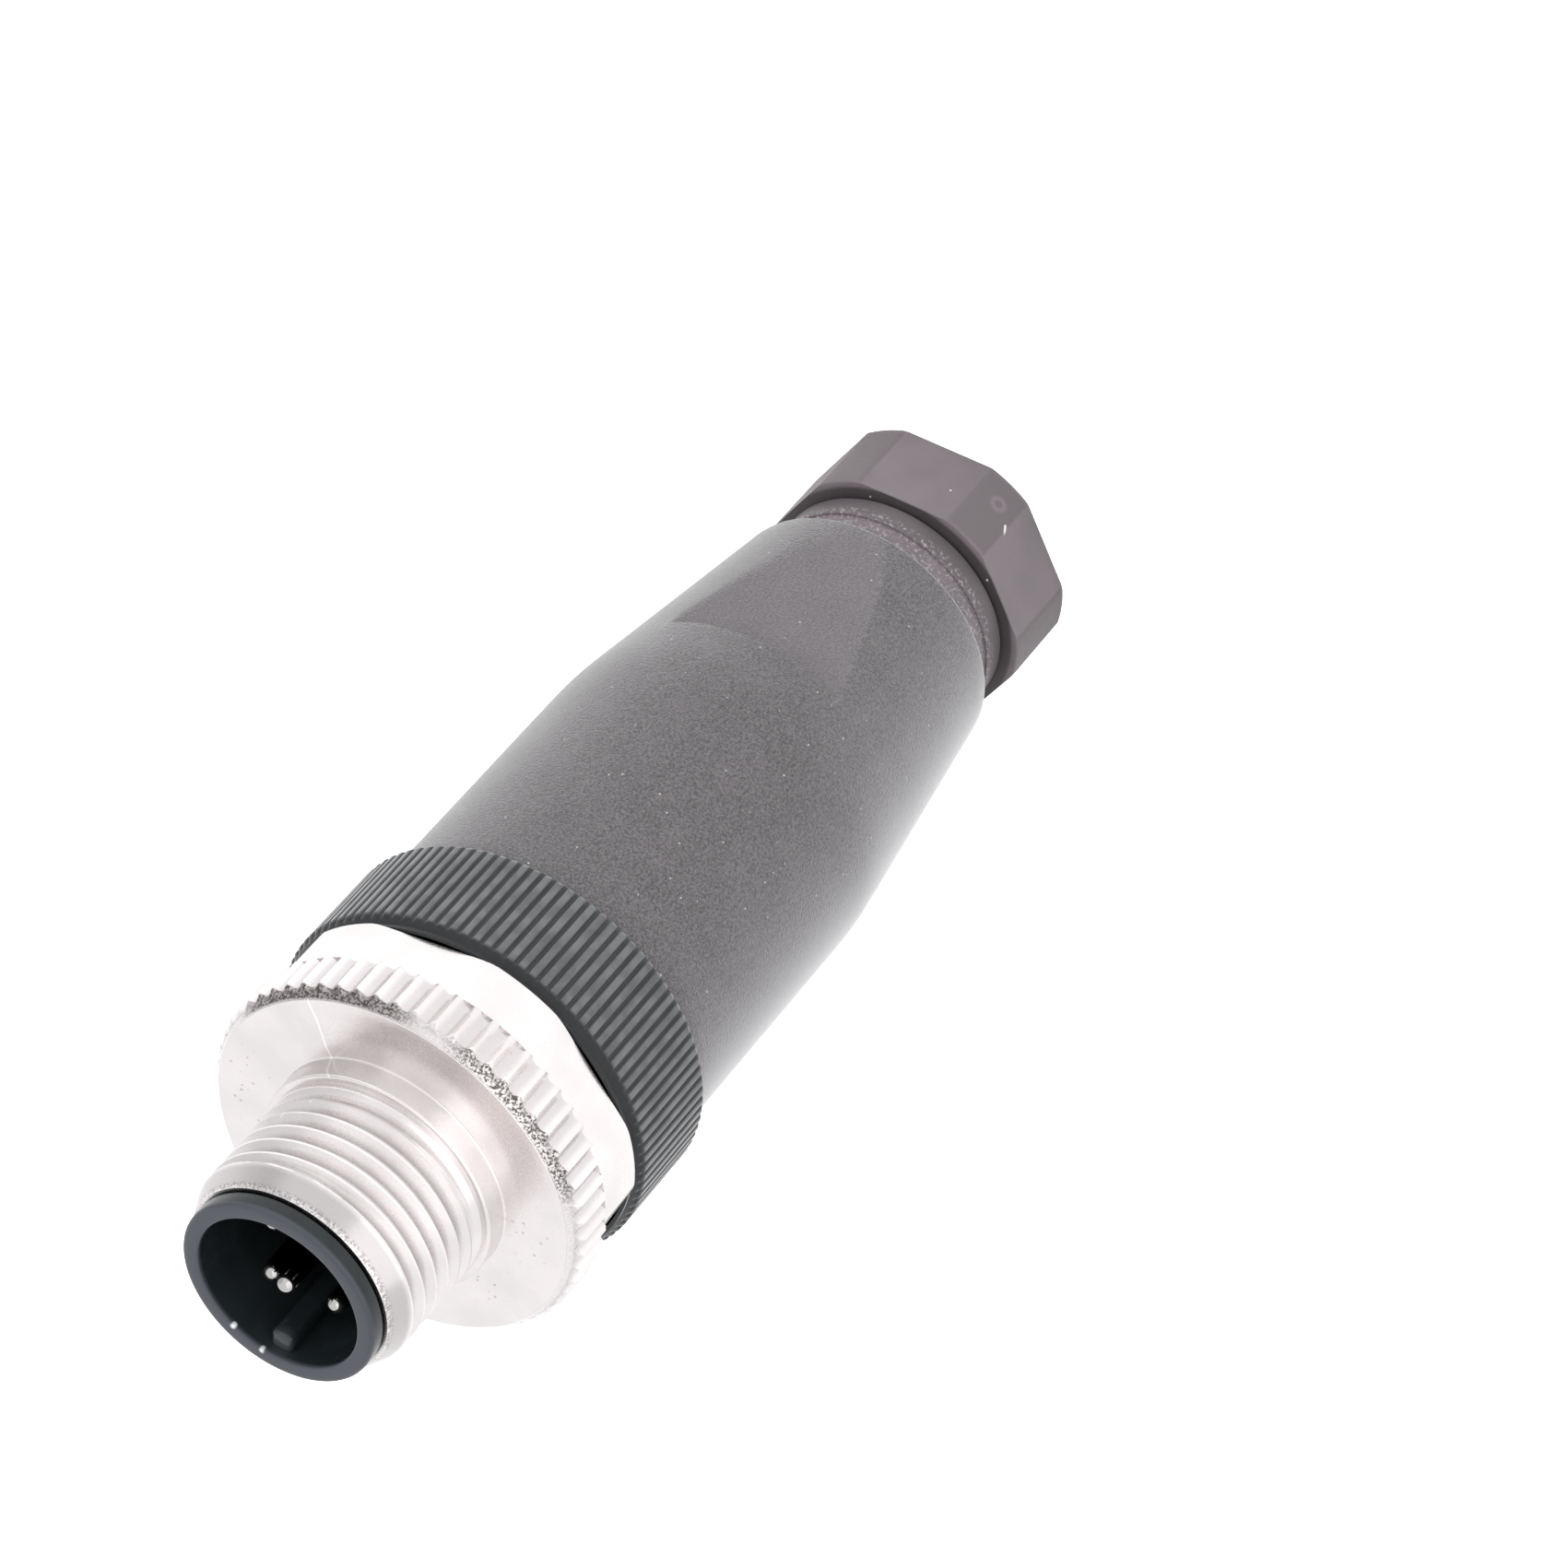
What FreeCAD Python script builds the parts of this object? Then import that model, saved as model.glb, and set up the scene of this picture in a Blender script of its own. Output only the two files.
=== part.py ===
import FreeCAD, Part
import os
import Sketcher

# Field-wired M12 plug, standing on its pressing screw with the mating face up.
# Z runs along the axis from the flat rear end (Z = 0) to the shroud's rim. The coding
# key and one spanner flat of the sleeve face +Y. All sizes are in millimetres.

doc = FreeCAD.newDocument("m12_plug")
sheet = doc.addObject("Spreadsheet::Sheet", "Sizes")

DRIVING_SIZES = [
    # Pressing screw that closes the cable gland
    ("gland_hex_flats", 14.0, "hexagon across flats"),
    ("gland_hex_corner", 0.5, "turned corners of the hexagon beyond its flats"),
    ("gland_hex_height", 5.0, "hexagon along the axis"),
    ("gland_hex_rear_chamfer", 0.5, "chamfer round the rear face"),
    ("gland_collar_step", 0.2, "plain collar outside the thread"),
    ("gland_collar_height", 1.55, "collar along the axis"),
    ("gland_thread_radius", 6.4, "outside of the screw's thread"),
    ("gland_thread_length", 5.0, "thread above the collar"),
    ("gland_cone_lip", 0.8, "wall round the cone that closes the clamp cage"),
    ("gland_cone_foot", 4.4, "narrow end of that cone"),
    ("gland_cone_depth", 1.9, "depth of that cone"),
    ("gland_open_gap", 1.85, "thread left showing below the sleeve"),
    ("cable_bore_radius", 3.3, "way in for the cable"),
    ("cable_bore_chamfer", 0.4, "flare at the rear of the bore"),
    # Clamp cage and cable seal, stacked on the pressing screw
    ("cage_ring_height", 1.5, "closed ring of the cage"),
    ("cage_inner_radius", 3.75, "inside of the cage"),
    ("cage_finger_height", 1.7, "fingers below the ring"),
    ("cage_finger_tip", 0.35, "wall at the end of the fingers"),
    ("cage_slot_width", 0.6, "slot between two fingers"),
    ("cage_finger_count", 6, "number of fingers"),
    ("seal_height", 5.2, "rubber seal along the axis"),
    ("seal_bore_radius", 2.9, "cable hole of the seal"),
    ("seal_top_chamfer", 1.0, "bevel that meets the sleeve"),
    ("stack_clearance", 0.15, "gap round the cage and the seal"),
    # Sleeve
    ("sleeve_radius", 9.38, "outside of the cylindrical part"),
    ("sleeve_rear_wall", 1.05, "wall of the sleeve's rear end"),
    ("sleeve_front_wall", 1.08, "wall of the sleeve's front end"),
    ("sleeve_length", 32.3, "whole sleeve"),
    ("sleeve_cylinder_length", 17.05, "cylindrical part"),
    ("sleeve_flat_rise", 0.05, "spanner flats outside the rear end's radius"),
    ("sleeve_flat_height", 11.8, "spanner flats along the axis"),
    ("sleeve_rear_bevel", 0.25, "broken rear rim"),
    ("sleeve_front_bevel", 0.15, "broken front rim"),
    ("sleeve_lower_thread_length", 5.2, "inner thread for the pressing screw"),
    ("seal_chamber_step", 0.45, "room for the cage and the seal inside the screw's thread"),
    ("sleeve_web_height", 1.2, "web above the seal"),
    ("sleeve_web_width", 1.65, "how far the web reaches in"),
    ("terminal_room_step", 0.3, "room round the terminals inside the thread"),
    # Contact carrier: flange, thread and core below the coupling screw
    ("flange_inset", 0.1, "ribs behind the knurl's crest"),
    ("flange_height", 6.1, "ribbed flange along the axis"),
    ("flange_front_chamfer", 0.6, "bevel at the front of the ribs"),
    ("flange_seat_gap", 0.2, "open line between flange and sleeve"),
    ("rib_count", 100, "ribs round the flange"),
    ("rib_depth", 0.3, "height of a rib"),
    ("rib_groove_bottom", 0.22, "width at the bottom of a groove"),
    ("rib_groove_top", 0.44, "width at the mouth of a groove"),
    ("carrier_land_length", 3.0, "land along the axis"),
    ("o_ring_groove_depth", 1.17, "depth of the seal groove"),
    ("o_ring_groove_width", 1.5, "width of the seal groove"),
    ("o_ring_groove_offset", 0.8, "from the flange to the groove"),
    ("carrier_thread_step", 0.42, "thread inside the land that takes the sleeve"),
    ("carrier_thread_length", 5.0, "thread along the axis"),
    ("core_step", 0.9, "core inside the carrier's thread"),
    ("core_length", 6.5, "core along the axis"),
    ("boss_radius", 2.5, "boss round the middle terminal"),
    ("boss_length", 3.8, "boss below the core"),
    # Shroud in front of the flange
    ("shroud_radius", 4.88, "outside of the shroud"),
    ("shroud_bore_radius", 4.35, "inside of the shroud"),
    ("shroud_bore_depth", 9.2, "from the rim to the contact floor"),
    ("lip_radius", 5.24, "lip that holds the coupling screw"),
    ("lip_height", 0.9, "lip along the axis"),
    ("lip_outer_bevel", 0.22, "broken outside edge of the rim"),
    ("key_width", 1.15, "coding key"),
    ("key_inner_radius", 3.3, "how far in the key reaches"),
    ("key_recess", 0.5, "from the rim to the key"),
    # Contacts and terminals
    ("contact_circle_radius", 2.5, "circle of the four outer pins"),
    ("pin_radius", 0.5, "contact pin"),
    ("pin_tip_bevel", 0.25, "narrowed end of a pin"),
    ("outer_pin_recess", 1.95, "from the rim to the outer pins"),
    ("middle_pin_recess", 0.4, "from the rim to the leading middle pin"),
    ("block_width", 3.1, "square clamp block of an outer contact"),
    ("block_circle_radius", 3.5, "circle of the outer clamp blocks"),
    ("block_height", 5.9, "clamp block along the axis"),
    ("middle_block_width", 2.9, "square clamp block of the middle contact"),
    ("middle_block_height", 3.4, "its length along the axis"),
    ("block_recess", 0.3, "clamp block behind the face of its pocket"),
    ("wire_hole_radius", 0.8, "hole for the wire"),
    ("wire_hole_depth", 4.8, "depth of the wire hole"),
    ("middle_wire_hole_depth", 2.7, "depth in the middle contact"),
    ("screw_radius", 0.98, "terminal screw"),
    ("screw_length", 2.0, "terminal screw"),
    ("middle_screw_length", 1.45, "screw of the middle terminal"),
    ("screw_slot_width", 0.3, "driver slot"),
    ("screw_slot_depth", 0.5, "driver slot"),
    ("screw_access_radius", 1.25, "driver hole through the core"),
    # Coupling screw
    ("coupling_lower_gap", 0.4, "play between coupling screw and flange"),
    ("coupling_upper_gap", 0.1, "play between coupling screw and lip"),
    ("coupling_hex_inset", 0.8, "flats of the hexagon behind the knurl's crest"),
    ("coupling_corner_inset", 0.2, "turned corners of the hexagon behind that crest"),
    ("coupling_hex_height", 2.45, "hexagon along the axis"),
    ("coupling_hex_turn", 9.0, "how far the hexagon stands turned"),
    ("knurl_radius", 10.25, "crest of the knurl"),
    ("knurl_height", 2.1, "full knurl along the axis"),
    ("knurl_count", 60, "teeth of the knurl"),
    ("knurl_depth", 0.36, "depth of a knurl groove"),
    ("knurl_crest", 0.12, "width left on a tooth"),
    ("coupling_face_inset", 0.55, "edge of the flat face behind the knurl's crest"),
    ("coupling_face_chamfer", 0.7, "height of the bevel round that face"),
    ("coupling_collar_radius", 6.28, "smooth collar behind the thread"),
    ("coupling_collar_height", 1.3, "collar along the axis"),
    ("coupling_thread_radius", 5.93, "crest of the M12 thread"),
    ("coupling_thread_length", 6.0, "full thread along the axis"),
    ("coupling_lead_height", 1.3, "tapered lead in front of the thread"),
    ("coupling_lead_radius", 5.38, "front end of the lead"),
    # Clearances that several pieces share
    ("thread_clearance", 0.05, "radial gap in a screwed pair"),
    ("running_clearance", 0.05, "radial gap of a turning fit"),
    ("land_clearance", 0.08, "radial gap round the carrier's land"),
    ("pocket_clearance", 0.02, "gap round pins, blocks and terminal screws"),
    ("face_clearance", 0.05, "gap between faces that rest on each other"),
]

for row, (alias, value, note) in enumerate(DRIVING_SIZES, start=1):
    sheet.set("A%d" % row, note)
    sheet.set("B%d" % row, str(value))
    sheet.setAlias("B%d" % row, alias)
doc.recompute()


def total(*terms):
    """Sum of sheet sizes as an expression; a leading minus sign subtracts a size."""
    text = ""
    for term in terms:
        if term.startswith("("):
            text += " + " + term
        elif term.startswith("-("):
            text += " - " + term[1:]
        elif term.startswith("-"):
            text += " - Sizes." + term[1:]
        else:
            text += " + Sizes." + term
    return "(0" + text + ")"


def half(alias):
    return "(Sizes.%s / 2)" % alias


def number(expression):
    result = sheet.evalExpression(expression)
    return float(getattr(result, "Value", result))


# Heights of the faces that the pieces share, from the rear end up

collar_base = total("gland_hex_height")
collar_top = total(collar_base, "gland_collar_height")
gland_tip = total(collar_top, "gland_thread_length")
sleeve_base = total(collar_top, "gland_open_gap")
sleeve_top = total(sleeve_base, "sleeve_length")
taper_top = total(sleeve_top, "-sleeve_cylinder_length")
flat_top = total(sleeve_base, "sleeve_flat_height")
lower_thread_top = total(sleeve_base, "sleeve_lower_thread_length")

cage_base = total(gland_tip, "face_clearance")
seal_base = total(cage_base, "cage_ring_height")
seal_top = total(seal_base, "seal_height")
web_base = total(seal_top, "gland_open_gap")
web_top = total(web_base, "sleeve_web_height")

flange_base = total(sleeve_top, "flange_seat_gap")
flange_top = total(flange_base, "flange_height")
groove_top = total(flange_base, "-o_ring_groove_offset")
groove_base = total(groove_top, "-o_ring_groove_width")
land_base = total(flange_base, "-carrier_land_length")
carrier_thread_base = total(land_base, "-carrier_thread_length")
core_base = total(carrier_thread_base, "-core_length")
boss_base = total(core_base, "-boss_length")

hex_base = total(flange_top, "coupling_lower_gap")
knurl_base = total(hex_base, "coupling_hex_height")
knurl_top = total(knurl_base, "knurl_height")
face_height = total(knurl_top, "coupling_face_chamfer")
thread_base = total(face_height, "coupling_collar_height")
lead_base = total(thread_base, "coupling_thread_length")
coupling_top = total(lead_base, "coupling_lead_height")
lip_base = total(coupling_top, "coupling_upper_gap")
rim = total(lip_base, "lip_height")
contact_floor = total(rim, "-shroud_bore_depth")

# Radii of the sleeve and of what screws into its two ends, each from its neighbour

land_bore = total("sleeve_radius", "-sleeve_front_wall")
land_radius = total(land_bore, "-land_clearance")
o_ring_groove_radius = total(land_radius, "-o_ring_groove_depth")
carrier_thread_radius = total(land_radius, "-carrier_thread_step")
terminal_room_radius = total(carrier_thread_radius, "-terminal_room_step")
core_radius = total(carrier_thread_radius, "-core_step")
gland_bore = total("gland_thread_radius", "thread_clearance")
sleeve_rear_radius = total(gland_bore, "sleeve_rear_wall")
sleeve_flat_radius = total(sleeve_rear_radius, "sleeve_flat_rise")
seal_chamber_radius = total("gland_thread_radius", "-seal_chamber_step")
sleeve_web_radius = total(seal_chamber_radius, "-sleeve_web_width")
gland_cone_radius = total("gland_thread_radius", "-gland_cone_lip")
gland_collar_radius = total("gland_thread_radius", "gland_collar_step")
gland_flat_radius = half("gland_hex_flats")
gland_corner_radius = total(gland_flat_radius, "gland_hex_corner")

# Radii that follow the knurl's crest, so that the metal and the ribs stay flush

flange_radius = total("knurl_radius", "-flange_inset")
coupling_flat_radius = total("knurl_radius", "-coupling_hex_inset")
coupling_corner_radius = total("knurl_radius", "-coupling_corner_inset")
coupling_face_radius = total("knurl_radius", "-coupling_face_inset")

# Heights of the clamp blocks and of the terminal screws across them

block_base = total(core_base, "block_recess")
block_top = total(block_base, "block_height")
middle_block_base = total(boss_base, "block_recess")
middle_block_top = total(middle_block_base, "middle_block_height")
screw_height = total(block_base, "(Sizes.block_height * 0.6)")
middle_screw_height = total(middle_block_base, half("middle_block_height"))

OUTER_CONTACTS = 4
CONTACT_STEP = 360 / OUTER_CONTACTS
KEY_ANGLE = 90
FIRST_CONTACT_ANGLE = KEY_ANGLE - CONTACT_STEP / 2
HEX_SIDES = 6
AXIS_Z = FreeCAD.Vector(0, 0, 1)
ORIGIN = FreeCAD.Vector(0, 0, 0)

# Bodies, sketches and features


def new_body(label):
    body = doc.addObject("PartDesign::Body", label)
    body.Label = label
    return body


def attached_sketch(body, name, role, height=None):
    sketch = body.newObject("Sketcher::SketchObject", name)
    for plane in body.Origin.OriginFeatures:
        if plane.Role == role:
            sketch.AttachmentSupport = [(plane, "")]
    sketch.MapMode = "FlatFace"
    if height is not None:
        sketch.AttachmentOffset = FreeCAD.Placement(FreeCAD.Vector(0, 0, number(height)),
                                                    FreeCAD.Rotation())
        sketch.setExpression("AttachmentOffset.Base.z", height)
    return sketch


def place_point(sketch, geometry, position, across, along):
    """Tie one point of the sketch to two expressions, measured from the origin."""
    for expression, kind, axis in ((across, "DistanceX", -2), (along, "DistanceY", -1)):
        if expression == "0":
            sketch.addConstraint(Sketcher.Constraint("PointOnObject", geometry, position, axis))
            continue
        index = sketch.addConstraint(Sketcher.Constraint(
            kind, -1, 1, geometry, position, number(expression)))
        sketch.setExpression("Constraints[%d]" % index, expression)


def outline(body, name, role, points, height=None):
    """Closed outline of straight lines whose corners are pairs of expressions."""
    sketch = attached_sketch(body, name, role, height)
    corners = [FreeCAD.Vector(0 if across == "0" else number(across),
                              0 if along == "0" else number(along), 0)
               for across, along in points]
    count = len(corners)
    lines = [Part.LineSegment(corners[i], corners[(i + 1) % count]) for i in range(count)]
    sketch.addGeometry(lines, False)
    sketch.addConstraint([Sketcher.Constraint("Coincident", i, 2, (i + 1) % count, 1)
                          for i in range(count)])
    for i, (across, along) in enumerate(points):
        place_point(sketch, i, 1, across, along)
    return sketch


def circle(body, name, role, across, along, radius, height=None):
    sketch = attached_sketch(body, name, role, height)
    centre = FreeCAD.Vector(0 if across == "0" else number(across),
                            0 if along == "0" else number(along), 0)
    sketch.addGeometry(Part.Circle(centre, AXIS_Z, number(radius)), False)
    place_point(sketch, 0, 3, across, along)
    index = sketch.addConstraint(Sketcher.Constraint("Radius", 0, number(radius)))
    sketch.setExpression("Constraints[%d]" % index, radius)
    return sketch


def square(body, name, across, half_width, height):
    """Square outline across the axis, centred at a distance along X."""
    near = "(%s - %s)" % (across, half_width)
    far = "(%s + %s)" % (across, half_width)
    return outline(body, name, "XY_Plane", [
        (near, "-" + half_width), (far, "-" + half_width),
        (far, half_width), (near, half_width)], height)


def revolve(body, name, sketch, axis="V_Axis"):
    feature = body.newObject("PartDesign::Revolution", name)
    feature.Profile = sketch
    feature.ReferenceAxis = (sketch, [axis])
    feature.Angle = 360
    doc.recompute()
    return feature


def pad(body, name, sketch, length):
    feature = body.newObject("PartDesign::Pad", name)
    feature.Profile = sketch
    feature.setExpression("Length", length)
    doc.recompute()
    return feature


def pocket(body, name, sketch, length):
    """Cut along the sketch's normal."""
    feature = body.newObject("PartDesign::Pocket", name)
    feature.Profile = sketch
    feature.Reversed = True
    feature.setExpression("Length", length)
    doc.recompute()
    return feature


def slot(body, name, sketch, length):
    """Cut to both sides of the sketch."""
    feature = body.newObject("PartDesign::Pocket", name)
    feature.Profile = sketch
    feature.Midplane = True
    feature.setExpression("Length", length)
    doc.recompute()
    return feature


def around(body, name, feature, sketch, count):
    """Repeat a cut evenly round the axis of its sketch."""
    pattern = body.newObject("PartDesign::PolarPattern", name)
    pattern.Originals = [feature]
    pattern.Axis = (sketch, ["N_Axis"])
    pattern.Angle = 360
    if isinstance(count, str):
        pattern.setExpression("Occurrences", "Sizes." + count)
    else:
        pattern.Occurrences = count
    body.Tip = pattern
    doc.recompute()
    return pattern


def around_axis(body, name, feature, count):
    """Repeat a cut evenly round the body's own Z axis."""
    pattern = body.newObject("PartDesign::PolarPattern", name)
    pattern.Originals = [feature]
    for axis in body.Origin.OriginFeatures:
        if axis.Role == "Z_Axis":
            pattern.Axis = (axis, [""])
    pattern.Angle = 360
    pattern.Occurrences = count
    body.Tip = pattern
    doc.recompute()
    return pattern


def turn_sketch(sketch, axis, angle):
    """Turn a sketch on its plane, which keeps its height."""
    offset = sketch.AttachmentOffset
    offset.Rotation = FreeCAD.Rotation(axis, angle)
    sketch.AttachmentOffset = offset
    doc.recompute()


def round_edges(feature, radius, height):
    """Names of the feature's full circles of this radius at this height."""
    names = []
    for i, edge in enumerate(feature.Shape.Edges, start=1):
        curve = edge.Curve
        if curve.TypeId != "Part::GeomCircle":
            continue
        same_radius = abs(curve.Radius - number(radius)) < 1e-4
        if same_radius and abs(curve.Center.z - number(height)) < 1e-4:
            names.append("Edge%d" % i)
    return names


def chamfer(body, name, base, edges, size):
    feature = body.newObject("PartDesign::Chamfer", name)
    feature.Base = (base, edges)
    feature.setExpression("Size", size)
    doc.recompute()
    return feature


def turn_about_axis(body, angle):
    body.Placement = FreeCAD.Placement(ORIGIN, FreeCAD.Rotation(AXIS_Z, number(angle)))
    body.setExpression("Placement.Rotation.Angle", angle)


def flat_cut(body, name, flat_radius, corner_radius, base, height, count):
    """Flats round a turned blank, the first one facing +Y."""
    reach = total(corner_radius, corner_radius)
    sketch = outline(body, name + "_outline", "XY_Plane",
                     [("-" + reach, flat_radius), (reach, flat_radius),
                      (reach, reach), ("-" + reach, reach)], base)
    cut = pocket(body, name + "_cut", sketch, height)
    return around(body, name + "_flats", cut, sketch, count)


# Pressing screw: hexagon, plain collar, thread and cone for the clamp cage


def make_pressing_screw():
    body = new_body("pressing_screw")
    cone_base = total(gland_tip, "-gland_cone_depth")
    section = outline(body, "pressing_section", "XZ_Plane", [
        (total("cable_bore_radius", "cable_bore_chamfer"), "0"),
        (total(gland_corner_radius, "-gland_hex_rear_chamfer"), "0"),
        (gland_corner_radius, total("gland_hex_rear_chamfer")),
        (gland_corner_radius, collar_base),
        (gland_collar_radius, collar_base),
        (gland_collar_radius, collar_top),
        (total("gland_thread_radius"), collar_top),
        (total("gland_thread_radius"), gland_tip),
        (gland_cone_radius, gland_tip),
        (total("gland_cone_foot"), cone_base),
        (total("cable_bore_radius"), cone_base),
        (total("cable_bore_radius"), total("cable_bore_chamfer")),
    ])
    revolve(body, "pressing_turned", section)
    flat_cut(body, "pressing", gland_flat_radius, gland_corner_radius,
             "(0)", total("gland_hex_height"), HEX_SIDES)
    return body


# Clamp cage: ring with fingers that the cone presses onto the cable


def make_clamp_cage():
    body = new_body("clamp_cage")
    ring_radius = total(seal_chamber_radius, "-stack_clearance")
    finger_base = total(cage_base, "-cage_finger_height")
    root_radius = total(gland_cone_radius, "-stack_clearance")
    tip_radius = total("cage_inner_radius", "cage_finger_tip")
    section = outline(body, "cage_section", "XZ_Plane", [
        (total("cage_inner_radius"), finger_base),
        (tip_radius, finger_base),
        (root_radius, cage_base),
        (ring_radius, cage_base),
        (ring_radius, seal_base),
        (total("cage_inner_radius"), seal_base),
    ])
    revolve(body, "cage_turned", section)
    gap = outline(body, "cage_gap", "XY_Plane", [
        ("0", "-" + half("cage_slot_width")),
        (root_radius, "-" + half("cage_slot_width")),
        (root_radius, half("cage_slot_width")),
        ("0", half("cage_slot_width")),
    ], finger_base)
    cut = pocket(body, "cage_slot", gap, total("cage_finger_height"))
    around(body, "cage_slots", cut, gap, "cage_finger_count")
    return body


# Cable seal: rubber bush above the cage


def make_cable_seal():
    body = new_body("cable_seal")
    outer_radius = total(seal_chamber_radius, "-stack_clearance")
    section = outline(body, "seal_section", "XZ_Plane", [
        (total("seal_bore_radius"), seal_base),
        (outer_radius, seal_base),
        (outer_radius, total(seal_top, "-seal_top_chamfer")),
        (total(seal_chamber_radius, "-stack_clearance", "-seal_top_chamfer"), seal_top),
        (total("seal_bore_radius"), seal_top),
    ])
    revolve(body, "seal_moulded", section)
    return body


# Sleeve: cylinder and cone outside, gland, web, terminal room and thread inside


def make_housing_sleeve():
    body = new_body("housing_sleeve")
    thread_bore = total(carrier_thread_radius, "thread_clearance")
    thread_top = total(land_base, "-flange_seat_gap")
    thread_bottom = total(carrier_thread_base, "-flange_seat_gap")
    section = outline(body, "sleeve_section", "XZ_Plane", [
        (gland_bore, sleeve_base),
        (sleeve_rear_radius, sleeve_base),
        (total("sleeve_radius"), taper_top),
        (total("sleeve_radius"), sleeve_top),
        (land_bore, sleeve_top),
        (land_bore, thread_top),
        (thread_bore, thread_top),
        (thread_bore, thread_bottom),
        (terminal_room_radius, thread_bottom),
        (terminal_room_radius, web_top),
        (sleeve_web_radius, web_top),
        (sleeve_web_radius, web_base),
        (seal_chamber_radius, web_base),
        (seal_chamber_radius, lower_thread_top),
        (gland_bore, lower_thread_top),
    ])
    turned = revolve(body, "sleeve_turned", section)
    rear = chamfer(body, "sleeve_rear_rim", turned,
                   round_edges(turned, sleeve_rear_radius, sleeve_base),
                   total("sleeve_rear_bevel"))
    chamfer(body, "sleeve_front_rim", rear,
            round_edges(rear, total("sleeve_radius"), sleeve_top), total("sleeve_front_bevel"))
    flat_cut(body, "sleeve", sleeve_flat_radius, total("sleeve_radius"),
             sleeve_base, total("sleeve_flat_height"), 2)
    return body


# O-ring between the carrier's land and the sleeve


def make_carrier_o_ring():
    body = new_body("carrier_o_ring")
    groove_depth = total(land_radius, "land_clearance", "-(%s)" % o_ring_groove_radius)
    reach = "((%s - 2 * Sizes.running_clearance) / 2)" % groove_depth
    corner = "(%s * tan(22.5))" % reach
    across = total(o_ring_groove_radius, "running_clearance", reach)
    along = total(groove_base, half("o_ring_groove_width"))
    section = outline(body, "o_ring_section", "XZ_Plane", [
        (total(across, "-" + corner), total(along, "-" + reach)),
        (total(across, corner), total(along, "-" + reach)),
        (total(across, reach), total(along, "-" + corner)),
        (total(across, reach), total(along, corner)),
        (total(across, corner), total(along, reach)),
        (total(across, "-" + corner), total(along, reach)),
        (total(across, "-" + reach), total(along, corner)),
        (total(across, "-" + reach), total(along, "-" + corner)),
    ])
    revolve(body, "o_ring_moulded", section)
    return body


# Contact carrier: shroud with lip and key, ribbed flange, land, thread and terminal core


def make_contact_carrier():
    body = new_body("contact_carrier")
    section = outline(body, "carrier_section", "XZ_Plane", [
        ("0", boss_base),
        (total("boss_radius"), boss_base),
        (total("boss_radius"), core_base),
        (core_radius, core_base),
        (core_radius, carrier_thread_base),
        (carrier_thread_radius, carrier_thread_base),
        (carrier_thread_radius, land_base),
        (land_radius, land_base),
        (land_radius, groove_base),
        (o_ring_groove_radius, groove_base),
        (o_ring_groove_radius, groove_top),
        (land_radius, groove_top),
        (land_radius, flange_base),
        (flange_radius, flange_base),
        (flange_radius, total(flange_top, "-flange_front_chamfer")),
        (total(flange_radius, "-flange_front_chamfer"), flange_top),
        (total("shroud_radius"), flange_top),
        (total("shroud_radius"), lip_base),
        (total("lip_radius"), lip_base),
        (total("lip_radius"), rim),
        (total("shroud_bore_radius"), rim),
        (total("shroud_bore_radius"), contact_floor),
        ("0", contact_floor),
    ])
    moulded = revolve(body, "carrier_moulded", section)
    chamfer(body, "lip_outer_edge", moulded, round_edges(moulded, total("lip_radius"), rim),
            total("lip_outer_bevel"))

    key = outline(body, "key_outline", "XY_Plane", [
        ("-" + half("key_width"), total("key_inner_radius")),
        (half("key_width"), total("key_inner_radius")),
        (half("key_width"), total("shroud_bore_radius", "face_clearance")),
        ("-" + half("key_width"), total("shroud_bore_radius", "face_clearance")),
    ], total(contact_floor, "-face_clearance"))
    turn_sketch(key, FreeCAD.Vector(0, 0, 1), KEY_ANGLE - 90 - FIRST_CONTACT_ANGLE)
    pad(body, "coding_key", key,
        total("shroud_bore_depth", "-key_recess", "face_clearance"))

    make_carrier_pockets(body)

    rib_root = total(flange_radius, "-rib_depth")
    rib_mouth = total(flange_radius, "rib_depth")
    mouth_half = "(Sizes.rib_groove_top - Sizes.rib_groove_bottom / 2)"
    groove = outline(body, "rib_groove", "XY_Plane", [
        (rib_root, "-" + half("rib_groove_bottom")),
        (rib_mouth, "-" + mouth_half),
        (rib_mouth, mouth_half),
        (rib_root, half("rib_groove_bottom")),
    ], flange_base)
    cut = pocket(body, "rib_cut", groove, total("flange_height"))
    around(body, "ribs", cut, groove, "rib_count")
    turn_about_axis(body, "(%g)" % FIRST_CONTACT_ANGLE)
    return body


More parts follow.
